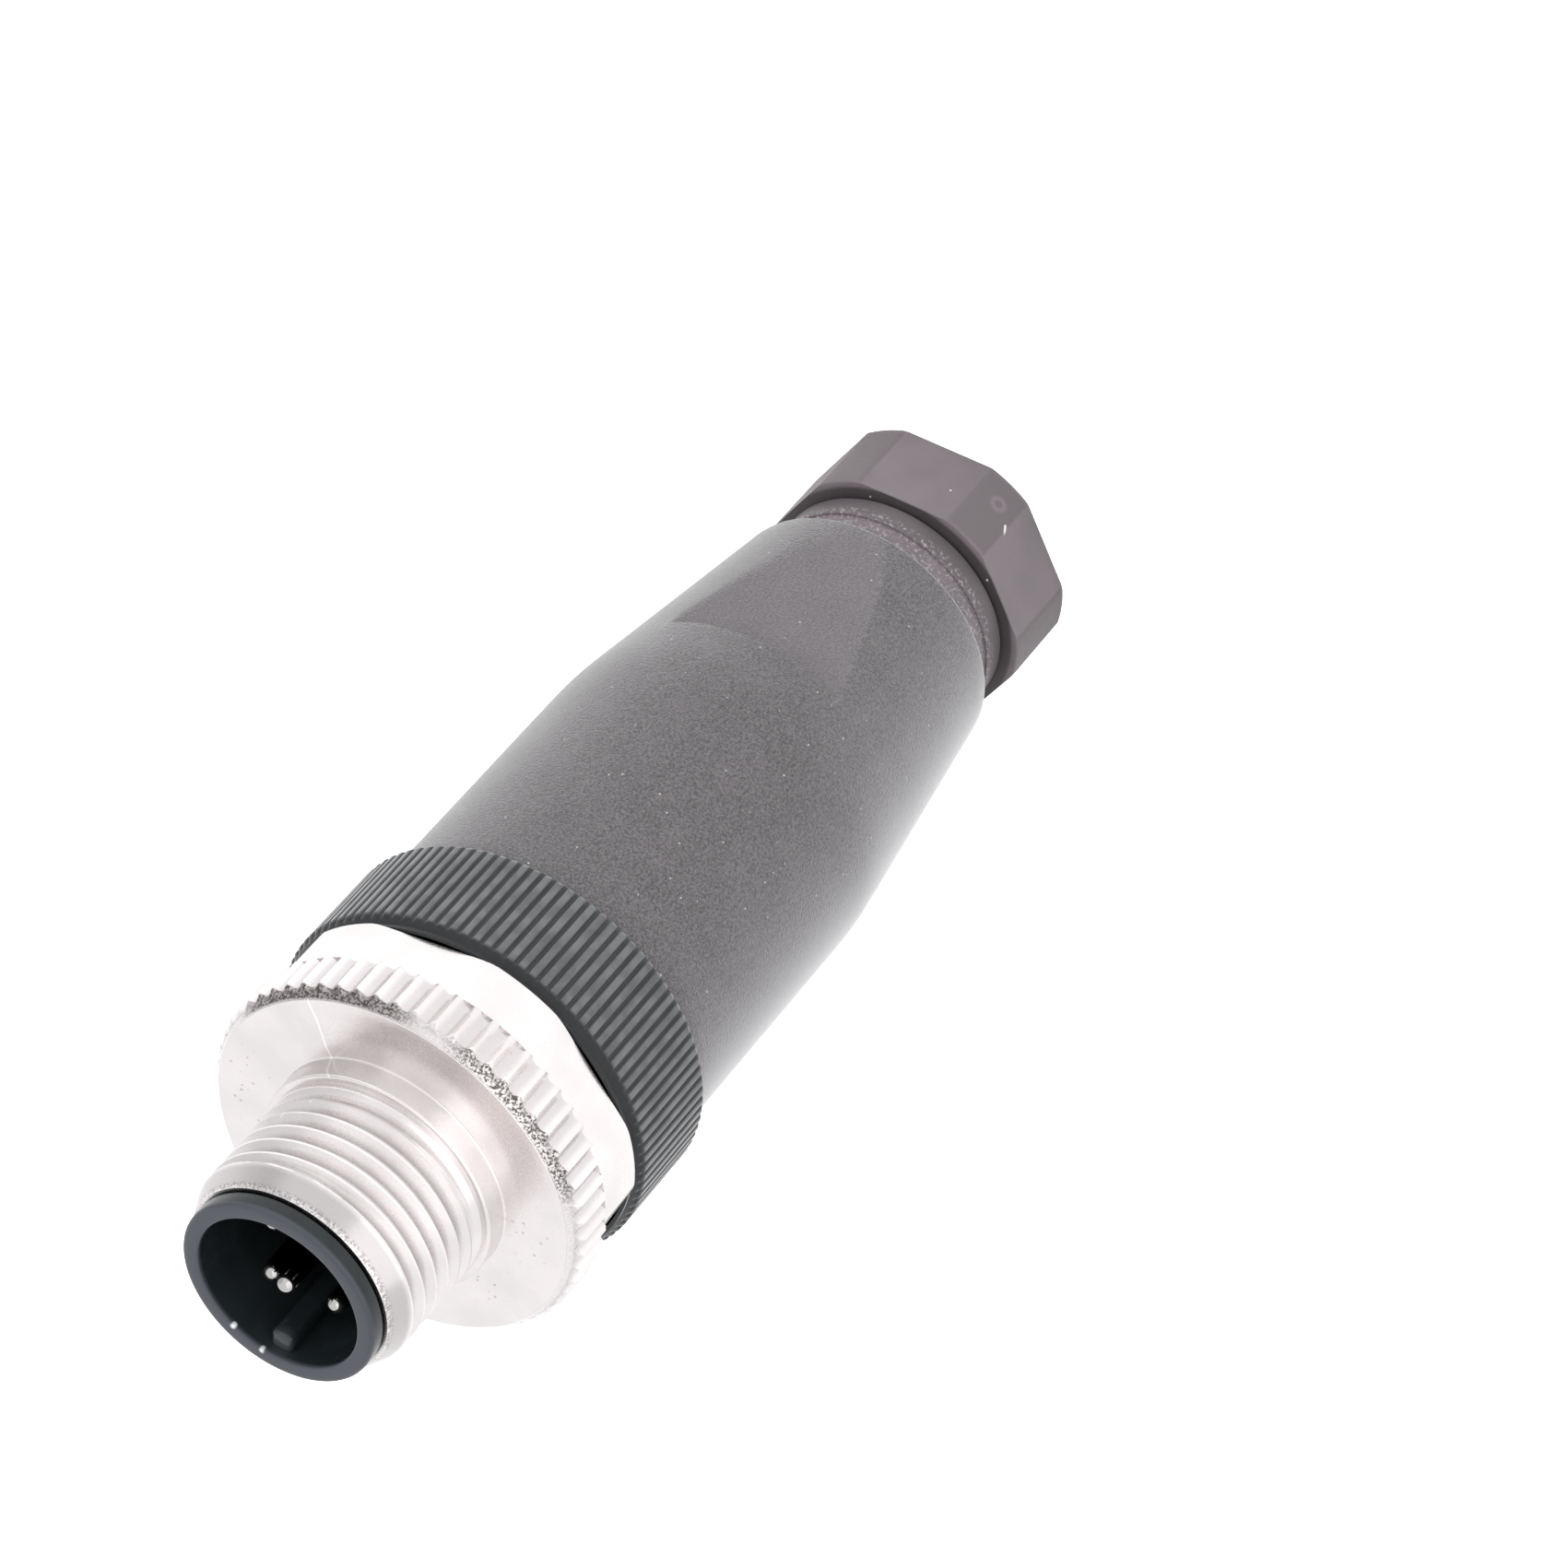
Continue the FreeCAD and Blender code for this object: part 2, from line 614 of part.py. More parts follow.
def make_carrier_pockets(body):
    """Ways for the pins, their clamp blocks, the terminal screws and the driver. The
    first contact lies on the body's X axis, before the whole carrier is turned."""
    pin_hole = total("pin_radius", "pocket_clearance")
    full_length = total(rim, "-(%s)" % boss_base)

    holes = circle(body, "outer_pin_hole", "XY_Plane", total("contact_circle_radius"), "0",
                   pin_hole, core_base)
    cut = pocket(body, "outer_pin_way", holes, full_length)
    around(body, "outer_pin_ways", cut, holes, OUTER_CONTACTS)

    blocks = square(body, "outer_block_hole", total("block_circle_radius"),
                    total(half("block_width"), "pocket_clearance"), core_base)
    cut = pocket(body, "outer_block_way", blocks,
                 total("block_recess", "block_height", "pocket_clearance"))
    around(body, "outer_block_ways", cut, blocks, OUTER_CONTACTS)

    access = circle(body, "driver_hole", "YZ_Plane", "0", screw_height,
                    total("screw_access_radius"))
    cut = pocket(body, "driver_way", access, total(core_radius, "face_clearance"))
    around_axis(body, "driver_ways", cut, OUTER_CONTACTS)

    middle = circle(body, "middle_pin_hole", "XY_Plane", "0", "0", pin_hole, boss_base)
    pocket(body, "middle_pin_way", middle, full_length)
    middle_block = square(body, "middle_block_hole", "(0)",
                          total(half("middle_block_width"), "pocket_clearance"), boss_base)
    pocket(body, "middle_block_way", middle_block,
           total("block_recess", "middle_block_height", "pocket_clearance"))
    middle_access = circle(body, "middle_driver_hole", "YZ_Plane", "0", middle_screw_height,
                           total("screw_radius", "pocket_clearance"))
    pocket(body, "middle_driver_way", middle_access, total("boss_radius", "face_clearance"))


# Contacts: pin, clamp block, wire hole and screw hole


def make_contact(name, circle_radius, block_circle, block_width, base, top, recess,
                 wire_depth, height_of_screw, angle):
    body = new_body(name)
    tip = total(rim, "-" + recess)
    block = square(body, name + "_block_outline", block_circle, half(block_width), base)
    pad(body, name + "_block", block, total(top, "-(%s)" % base))
    pin = circle(body, name + "_pin_outline", "XY_Plane", circle_radius, "0",
                 total("pin_radius"), total(top, "-(Sizes.pin_radius)"))
    shaft = pad(body, name + "_pin", pin,
                total(tip, "-(%s)" % top, "pin_radius"))
    chamfer(body, name + "_tip", shaft, round_edges(shaft, total("pin_radius"), tip),
            total("pin_tip_bevel"))
    wire = circle(body, name + "_wire_outline", "XY_Plane",
                  "0" if block_circle == "(0)" else block_circle, "0",
                  total("wire_hole_radius"), base)
    pocket(body, name + "_wire_hole", wire, total(wire_depth))
    thread = circle(body, name + "_screw_outline", "YZ_Plane", "0", height_of_screw,
                    total("screw_radius", "pocket_clearance"))
    pocket(body, name + "_screw_hole", thread, core_radius)
    turn_about_axis(body, angle)
    return body


# Terminal screws, lying across the axis with the driver slot outwards


def make_terminal_screw(name, tip, length, height, angle):
    body = new_body(name)
    head = total(tip, length)
    top = total(height, "screw_radius")
    section = outline(body, name + "_section", "XZ_Plane", [
        (tip, height), (head, height), (head, top), (tip, top)])
    revolve(body, name + "_turned", section, "Edge1")
    groove = outline(body, name + "_slot_outline", "XZ_Plane", [
        (total(head, "-screw_slot_depth"), total(height, "-(Sizes.screw_slot_width / 2)")),
        (total(head, "screw_slot_depth"), total(height, "-(Sizes.screw_slot_width / 2)")),
        (total(head, "screw_slot_depth"), total(height, half("screw_slot_width"))),
        (total(head, "-screw_slot_depth"), total(height, half("screw_slot_width"))),
    ])
    slot(body, name + "_slot", groove, "(Sizes.screw_radius * 4)")
    turn_about_axis(body, angle)
    return body


# Coupling screw: hexagon, knurl, flat face, collar and M12 thread on one metal piece


def make_coupling_screw():
    body = new_body("coupling_screw")
    bore = total("shroud_radius", "running_clearance")
    section = outline(body, "coupling_section", "XZ_Plane", [
        (bore, hex_base),
        (coupling_corner_radius, hex_base),
        (coupling_corner_radius, knurl_base),
        (total("knurl_radius"), knurl_base),
        (total("knurl_radius"), knurl_top),
        (coupling_face_radius, face_height),
        (total("coupling_collar_radius"), face_height),
        (total("coupling_collar_radius"), thread_base),
        (total("coupling_thread_radius"), thread_base),
        (total("coupling_thread_radius"), lead_base),
        (total("coupling_lead_radius"), coupling_top),
        (bore, coupling_top),
    ])
    revolve(body, "coupling_turned", section)

    flat_cut(body, "coupling", coupling_flat_radius, coupling_corner_radius,
             hex_base, total("coupling_hex_height"), HEX_SIDES)

    groove_root = total("knurl_radius", "-knurl_depth")
    groove_mouth = total("knurl_radius", "knurl_depth")
    pitch_half = "(pi * Sizes.knurl_radius / Sizes.knurl_count - Sizes.knurl_crest / 2)"
    groove = outline(body, "knurl_groove", "XY_Plane", [
        (groove_root, "0"),
        (groove_mouth, "-(2 * %s)" % pitch_half),
        (groove_mouth, "(2 * %s)" % pitch_half),
    ], knurl_base)
    cut = pocket(body, "knurl_cut", groove, total("knurl_height", "coupling_face_chamfer"))
    around(body, "knurl", cut, groove, "knurl_count")
    turn_about_axis(body, total("coupling_hex_turn"))
    return body


make_pressing_screw()
make_clamp_cage()
make_cable_seal()
make_housing_sleeve()
make_carrier_o_ring()
make_contact_carrier()
make_coupling_screw()
for index in range(OUTER_CONTACTS):
    angle = "(%g)" % (FIRST_CONTACT_ANGLE + index * CONTACT_STEP)
    screw_tip = total("block_circle_radius", "wire_hole_radius")
    make_contact("contact_%d" % (index + 1), total("contact_circle_radius"),
                 total("block_circle_radius"), "block_width", block_base, block_top,
                 "outer_pin_recess", "wire_hole_depth", screw_height, angle)
    make_terminal_screw("terminal_screw_%d" % (index + 1), screw_tip, "screw_length",
                        screw_height, angle)
middle = "(%g)" % FIRST_CONTACT_ANGLE
make_contact("contact_5", "0", "(0)", "middle_block_width", middle_block_base,
             middle_block_top, "middle_pin_recess", "middle_wire_hole_depth",
             middle_screw_height, middle)
make_terminal_screw("terminal_screw_5", total("wire_hole_radius"), "middle_screw_length",
                    middle_screw_height, middle)

doc.recompute()

# Every feature has to be sound before anything is written

bodies = [item for item in doc.Objects if item.TypeId == "PartDesign::Body"]
for item in doc.Objects:
    if "Invalid" in item.State or "Error" in item.State:
        raise RuntimeError("%s could not be built: %s" % (item.Label, item.State))
for body in bodies:
    if body.Shape.isNull() or not body.Shape.isValid() or len(body.Shape.Solids) != 1:
        raise RuntimeError("%s is not one sound solid" % body.Label)

os.makedirs("parts", exist_ok=True)
for body in bodies:
    body.Shape.exportStep("parts/%s.step" % body.Label)
    print("%-18s %9.2f mm3" % (body.Label, body.Shape.Volume))
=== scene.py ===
import math

import bmesh
import bpy
from mathutils import Matrix, Vector


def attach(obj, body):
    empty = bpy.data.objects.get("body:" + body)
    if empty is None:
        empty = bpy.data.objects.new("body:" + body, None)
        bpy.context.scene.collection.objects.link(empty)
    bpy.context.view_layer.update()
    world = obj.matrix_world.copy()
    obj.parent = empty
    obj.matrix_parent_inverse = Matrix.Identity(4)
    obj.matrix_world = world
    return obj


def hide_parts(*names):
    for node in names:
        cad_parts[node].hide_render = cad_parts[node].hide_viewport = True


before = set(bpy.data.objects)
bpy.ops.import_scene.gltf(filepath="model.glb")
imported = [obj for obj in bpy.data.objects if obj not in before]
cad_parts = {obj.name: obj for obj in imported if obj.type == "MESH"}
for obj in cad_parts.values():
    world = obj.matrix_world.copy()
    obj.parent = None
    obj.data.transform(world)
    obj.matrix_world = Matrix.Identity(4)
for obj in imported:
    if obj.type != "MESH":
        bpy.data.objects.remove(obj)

bl_info = {
    "name": "M12 cable plug",
    "version": (1, 0, 0),
    "blender": (4, 5, 0),
    "location": "View3D > Sidebar > Plug",
    "description": "Dresses the packed M12 plug with its finished surfaces, stage and camera",
    "category": "Object",
}

MM = 0.001
TURN = 2 * math.pi
WHITE = (1.0, 1.0, 1.0)

# Heights along the plug, in millimetres above the rear face, as in the solid model

NUT_TOP = 5.0
NUT_COLLAR_TOP = 6.55
NUT_TIP = 11.55
SLEEVE_BASE = 8.4
SLEEVE_CHAMBER_BASE = 13.6
SLEEVE_WEB_BASE = 20.15
SLEEVE_FLAT_TOP = 20.2
SLEEVE_WEB_TOP = 21.35
SLEEVE_TAPER_TOP = 23.65
SLEEVE_THREAD_BASE = 32.7
SLEEVE_THREAD_TOP = 37.7
SLEEVE_TOP = 40.7
CARRIER_THREAD_BASE = 32.9
CARRIER_THREAD_TOP = 37.9
FLANGE_BASE = 40.9
FLANGE_TOP = 47.0
HEX_BASE = 47.4
KNURL_BASE = 49.85
KNURL_TOP = 51.95
DISC_FACE = 52.65
CONTACT_FLOOR = 53.05
THREAD_BASE = 53.95
LEAD_BASE = 59.95
COUPLING_TOP = 61.25
LIP_BASE = 61.35
RIM = 62.25

# Where the turned shell of the carrier and the solid's core overlap out of sight, and the inside
# radius of the knurl and of the ribs, hidden in the pieces that carry them, in millimetres

SHELL_BASE = 40.2
CORE_TOP = 40.5
RING_BORE = 9.0

# Where the photograph was taken from, in metres in the part's own frame, and its lens

CAMERA_PLACE = (-0.10002938, -0.21302577, 0.21959629)
CAMERA_RIGHT = (-0.86150917, -0.07537229, -0.50211)
CAMERA_UP = (0.3962139, -0.71821069, -0.572)
CAMERA_BACK = (-0.31751041, -0.69172508, 0.64861)
CAMERA_LENS = 141.06
CAMERA_SENSOR = 36.0

# Soft lights, in metres: their offsets from the place on the axis that they face

LIGHT_AIM = Vector((0.0, 0.0, 0.03))
LIGHT_SIZE = 0.5
KEY_OFFSET = Vector((0.22, -0.32, 0.22))
FILL_OFFSET = Vector((-0.30, -0.12, 0.22))

# Dark cards round the studio that the metal mirrors: azimuth, elevation, half width, soft
# edge, all in degrees, and darkness

DARK_CARDS = [(-15.0, 17.0, 36.0, 8.0, 0.3), (-178.0, 29.0, 17.0, 6.0, 0.3)]

# Sides of the metal's bevel where a dark reflection is painted: bearing in degrees, the cosines
# from it at which the painted reflection is full and gone, and how much of it stays between the blots

BEVEL_PAINTED_REFLECTIONS = [(-62.0, 0.92, 0.82, 0.5), (-134.0, 0.94, 0.85, 0.12)]

# Scales of the cloudy noises: blots of speckle and of the painted reflection, frost by the
# pressing screw, scuffed patches

SPECKLE_SCALE = 7500.0
FROST_SCALE = 5200.0
SCUFF_SCALE = 900.0

# Marks and painted light, in millimetres: the scratch across the metal's flat face and collar,
# the stains on the flat face, the painted glints on the shroud's inner edge, the painted
# highlight on the end of the coding key, and the round moulding mark and the nick on one corner
# of the pressing screw

SCRATCH = [(5.37, -9.32, 52.65), (4.24, -7.16, 52.65), (3.72, -5.75, 52.65),
           (3.47, -5.36, 52.66), (3.40, -5.28, 52.8), (3.15, -5.43, 53.5),
           (2.86, -5.59, 53.85), (2.2, -5.5, 54.6), (3.3, -4.9, 56.0), (3.88, -4.4, 56.6)]
STAINS = [(8.3, -1.6, 52.65), (8.6, 1.0, 52.65), (-7.6, 0.3, 52.65), (-5.6, 4.6, 52.65)]
GLINTS = [(2.36, 3.76, 62.14), (0.74, 4.42, 62.14)]
KEY_END_HIGHLIGHT = (0.0, 3.75, 61.75)
NUT_MARK = (-3.88, -6.42, 1.72)
NUT_NICK = [(-4.70, -5.80, 2.40), (-4.96, -5.62, 2.76)]

# Colours of wear and dust, and of painted glints, highlights, sheen, reflection and shade

SPECKLE_AND_REFLECTION_TINT = (0.115, 0.10, 0.095)
SCRATCH_TINT = (1.0, 0.99, 0.98)
STAIN_TINT = (0.30, 0.25, 0.22)
KEY_HIGHLIGHT_TINT = (0.042, 0.048, 0.052)
GLINT_TINT = (0.85, 0.87, 0.9)
SCUFF_TINT = (0.24, 0.25, 0.25)
RING_SHEEN_TINT = (0.50, 0.51, 0.54)
RING_DUST = (0.6, 0.6, 0.58)
SLEEVE_SHEEN_TINT = (0.72, 0.71, 0.75)
SLEEVE_DUST = (0.5, 0.49, 0.48)
NICK_TINT = (0.75, 0.72, 0.72)
FROST_TINT = (0.62, 0.57, 0.60)
NUT_DUST = (0.6, 0.58, 0.57)
SHAFT_SHADE_TINT = (0.055, 0.045, 0.035)

# Fine thread of the carrier and of the pressing screw, in metres

FINE_THREAD = {"Columns": 128, "Rows Per Turn": 12, "Pitch": 0.001, "Crest Share": 0.2,
               "Flank Share": 0.6, "Run Out": 0.0006, "Lead Height": 0.0004}

# Angles between faces, in degrees, past which an edge is shaded sharp

PLAIN_EDGE = 40.0
KNURL_EDGE = 30.0
FINE_EDGE = 50.0

# Sizes, colours and stage settings that a user may change


def length(name, description, millimetres):
    return bpy.props.FloatProperty(name=name, description=description,
                                   default=millimetres * MM, precision=5,
                                   unit="LENGTH", subtype="DISTANCE")


def count(name, description, default):
    return bpy.props.IntProperty(name=name, description=description, default=default, min=1)


def colour(name, description, default):
    return bpy.props.FloatVectorProperty(name=name, description=description, default=default,
                                         size=3, min=0.0, max=1.0, subtype="COLOR")


class PlugSizes(bpy.types.PropertyGroup):
    thread_crest: length("Thread crest", "Crest radius of the coupling thread", 5.93)
    thread_root: length("Thread root", "Root radius of the coupling thread", 5.36)
    thread_pitch: length("Thread pitch", "Pitch of the coupling thread", 1.0)
    knurl_crest: length("Knurl crest", "Crest radius of the knurl", 10.25)
    knurl_root: length("Knurl root", "Root radius of the knurl", 9.89)
    knurl_teeth: count("Knurl teeth", "Teeth of the knurl", 60)
    coupling_hex: length("Coupling hexagon", "Hexagon of the coupling screw, across flats", 18.9)
    rib_crest: length("Rib crest", "Outer radius of the flange's ribs", 10.15)
    rib_root: length("Rib root", "Radius between the flange's ribs", 9.95)
    rib_count: count("Ribs", "Ribs round the flange", 100)
    sleeve_radius: length("Sleeve radius", "Outside of the sleeve's cylinder", 9.38)
    sleeve_rear_radius: length("Sleeve rear radius", "Outside of the sleeve's rear end", 7.5)
    sleeve_flats: length("Sleeve flats", "Spanner flats of the sleeve, across", 15.1)
    nut_flats: length("Nut flats", "Hexagon of the pressing screw, across flats", 14.0)
    pin_radius: length("Pin radius", "Radius of the contact pins", 0.5)
    pin_circle: length("Pin circle", "Circle radius of the four outer pins", 2.5)


class PlugColours(bpy.types.PropertyGroup):
    metal: colour("Plated metal", "Nickel plating of the coupling screw", (0.805, 0.768, 0.766))
    carrier: colour("Shroud plastic", "Dark glossy plastic of the shroud", (0.013, 0.0172, 0.0190))
    # The rim's lighter blue-grey is a painted reflection on the same dark plastic
    rim: colour("Shroud rim", "The same plastic on the shroud's blue-grey rim", (0.052, 0.058, 0.070))
    ring: colour("Ring plastic", "The same plastic where the ribs are scuffed", (0.043, 0.0465, 0.050))
    sleeve: colour("Sleeve plastic", "Grained plastic of the sleeve", (0.100, 0.092, 0.098))
    nut: colour("Nut plastic", "Smooth plastic of the pressing screw", (0.158, 0.136, 0.147))
    pin: colour("Pins", "Plated contact pins", (0.52, 0.51, 0.50))
    steel: colour("Terminal screws", "Plated steel of the terminal screws", (0.62, 0.62, 0.60))
    rubber: colour("Rubber", "Seals", (0.018, 0.018, 0.018))
    cage: colour("Clamp cage", "Plastic of the clamp cage", (0.05, 0.05, 0.052))
    floor: colour("Floor", "Pale floor", (0.95, 0.95, 0.95))


class PlugStage(bpy.types.PropertyGroup):
    sky: bpy.props.FloatProperty(name="Surround", description="Light from all round",
                                 default=1.08, min=0.0)
    key_power: bpy.props.FloatProperty(name="Key light", description="Power of the key light",
                                       default=1.1, min=0.0, unit="POWER")
    fill_power: bpy.props.FloatProperty(name="Fill light", description="Power of the fill light",
                                        default=0.45, min=0.0, unit="POWER")
    floor_glow: bpy.props.FloatProperty(name="Floor glow",
                                        description="How far the floor shines by itself",
                                        default=1.0, min=0.0)


def sizes():
    return bpy.context.scene.plug_sizes


def colours():
    return bpy.context.scene.plug_colours


# Node trees


def fill(tree, sockets, values):
    """Set each socket, or join it to the output that is given for it."""
    for key, value in values.items():
        if isinstance(value, bpy.types.NodeSocket):
            tree.links.new(value, sockets[key])
        else:
            sockets[key].default_value = value


def node(tree, kind, inputs=None, **settings):
    item = tree.nodes.new(kind)
    for key, value in settings.items():
        setattr(item, key, value)
    fill(tree, item.inputs, inputs or {})
    return item


def maths(tree, operation, *values, clamp=False):
    return node(tree, "ShaderNodeMath", dict(enumerate(values)), operation=operation,
                use_clamp=clamp).outputs[0]


def plus(tree, first, second, clamp=False):
    return maths(tree, "ADD", first, second, clamp=clamp)


def minus(tree, first, second, clamp=False):
    return maths(tree, "SUBTRACT", first, second, clamp=clamp)


def times(tree, first, second, clamp=False):
    return maths(tree, "MULTIPLY", first, second, clamp=clamp)


def over(tree, first, second, clamp=False):
    return maths(tree, "DIVIDE", first, second, clamp=clamp)


def vectors(tree, operation, *values):
    """Vector made from other vectors, or the number where the operation gives one."""
    item = node(tree, "ShaderNodeVectorMath", dict(enumerate(values)), operation=operation)
    gives_number = operation in ("LENGTH", "DISTANCE", "DOT_PRODUCT")
    return item.outputs["Value" if gives_number else "Vector"]


def steps(tree, value, low, high, to_low=0.0, to_high=1.0):
    """Smooth change of value from low to high, clamped at both ends."""
    item = node(tree, "ShaderNodeMapRange", {"Value": value, "From Min": low, "From Max": high,
                                             "To Min": to_low, "To Max": to_high},
                interpolation_type="SMOOTHSTEP")
    return item.outputs["Result"]


def mixed(tree, factor, first, second):
    """First colour where the factor is 0 and second where it is 1."""
    return node(tree, "ShaderNodeMix", {0: factor, 6: first, 7: second},
                data_type="RGBA").outputs[2]


def blended(tree, factor, first, second):
    """First value where the factor is 0 and second where it is 1."""
    return node(tree, "ShaderNodeMix", {0: factor, 2: first, 3: second}).outputs[0]


def rgba(values, factor=1.0):
    return tuple(min(1.0, v * factor) for v in values) + (1.0,)


def object_place(tree):
    return node(tree, "ShaderNodeTexCoord").outputs["Object"]


def noise(tree, scale, detail, roughness=0.5):
    return node(tree, "ShaderNodeTexNoise", {"Vector": object_place(tree), "Scale": scale,
                                             "Detail": detail, "Roughness": roughness}).outputs[0]


SOCKET_KINDS = {int: "NodeSocketInt", float: "NodeSocketFloat", tuple: "NodeSocketVector",
                type(None): "NodeSocketMaterial"}


def group_tree(name, defaults, results, kind="ShaderNodeTree", result_kind="NodeSocketFloat"):
    """Node group whose inputs have defaults; an input without one takes a material."""
    tree = bpy.data.node_groups.new(name, kind)
    for socket, default in defaults.items():
        item = tree.interface.new_socket(socket, in_out="INPUT",
                                         socket_type=SOCKET_KINDS[type(default)])
        if default is not None:
            item.default_value = default
    for socket in results:
        tree.interface.new_socket(socket, in_out="OUTPUT", socket_type=result_kind)
    return tree, tree.nodes.new("NodeGroupInput").outputs, tree.nodes.new("NodeGroupOutput").inputs


# Shader groups that several materials share


def level_place(tree):
    """Place on the surface with its height left out."""
    return vectors(tree, "MULTIPLY", object_place(tree), (1.0, 1.0, 0.0))


def build_grain_group():
    """Fine moulded or blasted grain, as a height and as a light and dark mottle."""
    tree, given, result = group_tree("fine_grain", {"Grain Size": 0.0003, "Unevenness": 0.5},
                                     ["Height", "Mottle"])
    scale = over(tree, 1.0, given["Grain Size"])
    fine = noise(tree, scale, 3.0, 0.6)
    broad = noise(tree, times(tree, scale, 0.06), 2.0)
    uneven = times(tree, minus(tree, broad, 0.5), given["Unevenness"])
    fill(tree, result, {"Height": plus(tree, fine, uneven),
                        "Mottle": steps(tree, broad, 0.3, 0.7)})


def build_speck_group():
    """Scattered small specks, as a mask."""
    tree, given, result = group_tree("specks", {"Spacing": 0.002, "Size": 0.06, "Share": 0.3},
                                     ["Mask"])
    cells = node(tree, "ShaderNodeTexVoronoi", {
        "Vector": object_place(tree), "Scale": over(tree, 1.0, given["Spacing"])}).outputs
    chosen = node(tree, "ShaderNodeSeparateColor", {"Color": cells["Color"]}).outputs[0]
    near = steps(tree, cells["Distance"], given["Size"], times(tree, given["Size"], 0.6))
    kept = maths(tree, "LESS_THAN", chosen, given["Share"])
    fill(tree, result, {"Mask": times(tree, near, kept)})


def build_rim_group():
    """Mask of the surface that stands further out from the plug's axis than a radius."""
    tree, given, result = group_tree(
        "outer_wear", {"Radius": 0.01, "Softness": 0.0001, "Patchiness": 0.5},
        ["Mask", "Distance"])
    distance = vectors(tree, "LENGTH", level_place(tree))
    outside = steps(tree, distance, minus(tree, given["Radius"], given["Softness"]),
                    plus(tree, given["Radius"], given["Softness"]))
    patches = steps(tree, noise(tree, SCUFF_SCALE, 4.0), 0.35, 0.65)
    worn = minus(tree, 1.0, times(tree, given["Patchiness"], patches))
    fill(tree, result, {"Mask": times(tree, worn, outside), "Distance": distance})


def build_bearing_group():
    """Mask of the part of a ring that lies towards one side of the plug."""
    tree, given, result = group_tree(
        "bearing", {"Direction": (1.0, 0.0, 0.0), "Full": 0.98, "Gone": 0.8}, ["Mask"])
    outward = vectors(tree, "NORMALIZE", level_place(tree))
    facing = vectors(tree, "DOT_PRODUCT", outward, given["Direction"])
    fill(tree, result, {"Mask": steps(tree, facing, given["Gone"], given["Full"])})


def build_hairline_group():
    """Mask of a thin straight mark between two points."""
    tree, given, result = group_tree(
        "hairline", {"Start": (0.0, 0.0, 0.0), "End": (0.0, 0.001, 0.0), "Width": 0.0001},
        ["Mask"])
    along = vectors(tree, "SUBTRACT", given["End"], given["Start"])
    from_start = vectors(tree, "SUBTRACT", object_place(tree), given["Start"])
    part = over(tree, vectors(tree, "DOT_PRODUCT", from_start, along),
                vectors(tree, "DOT_PRODUCT", along, along), clamp=True)
    nearest = node(tree, "ShaderNodeVectorMath", {0: along, "Scale": part}, operation="SCALE")
    gap = vectors(tree, "DISTANCE", from_start, nearest.outputs[0])
    fill(tree, result, {"Mask": steps(tree, gap, times(tree, given["Width"], 0.3),
                                      given["Width"], 1.0, 0.0)})


# Masks and tones for the materials, with lengths in millimetres


def placed_group(tree, name, inputs):
    return node(tree, "ShaderNodeGroup", inputs, node_tree=bpy.data.node_groups[name]).outputs


def grain_of(tree, size, unevenness):
    return placed_group(tree, "fine_grain", {"Grain Size": size * MM, "Unevenness": unevenness})


def specks_of(tree, spacing, size, share):
    return placed_group(tree, "specks", {"Spacing": spacing * MM, "Size": size,
                                         "Share": share})[0]


def axis_distance(tree):
    return placed_group(tree, "outer_wear", {})["Distance"]


def beyond(tree, distance, low, high):
    """Mask that starts at one distance and is full at the next."""
    return steps(tree, distance, low * MM, high * MM)


def within(tree, distance, low, high):
    """Mask that is full up to one distance and gone at the next."""
    return steps(tree, distance, low * MM, high * MM, 1.0, 0.0)


def height_band(tree, low, high, softness):
    """Mask between two heights above the rear face."""
    up = node(tree, "ShaderNodeSeparateXYZ", {0: object_place(tree)}).outputs["Z"]
    return times(tree, beyond(tree, up, low - softness, low + softness),
                 within(tree, up, high - softness, high + softness))


def line_mask(tree, start, end, width):
    return placed_group(tree, "hairline", {"Start": Vector(start) * MM, "End": Vector(end) * MM,
                                           "Width": width * MM})[0]


def spot_mask(tree, middle, radius):
    return line_mask(tree, middle, middle, radius)


def side_mask(tree, degrees, full, gone):
    """Mask of the side that lies towards a bearing, between two cosines from it."""
    direction = (math.cos(math.radians(degrees)), math.sin(math.radians(degrees)), 0.0)
    return placed_group(tree, "bearing", {"Direction": direction, "Full": full, "Gone": gone})[0]


def mottled(tree, grain, base, dark, light):
    """Base colour between a darker and a lighter share of itself."""
    return mixed(tree, grain["Mottle"], rgba(base, dark), rgba(base, light))


def by_grain(tree, grain, low, high):
    """Value that follows the grain's height."""
    return steps(tree, grain["Height"], 0.2, 0.9, low, high)


def bumped(tree, height, strength, distance):
    return node(tree, "ShaderNodeBump", {"Height": height, "Strength": strength,
                                         "Distance": distance * MM}).outputs[0]


def painted_sheen_edges(tree, base, painted_sheen, strength):
    """Colour with a painted sheen where the surface is seen at a glance."""
    glance = node(tree, "ShaderNodeLayerWeight", {"Blend": 0.5}).outputs["Facing"]
    return mixed(tree, times(tree, maths(tree, "POWER", glance, 3.6), strength), base, rgba(painted_sheen))


def new_material(name):
    material = bpy.data.materials.new(name)
    material.use_nodes = True
    tree = material.node_tree
    tree.nodes.clear()
    surface = tree.nodes.new("ShaderNodeBsdfPrincipled")
    node(tree, "ShaderNodeOutputMaterial", {"Surface": surface.outputs[0]})
    return tree, surface.inputs


# Materials


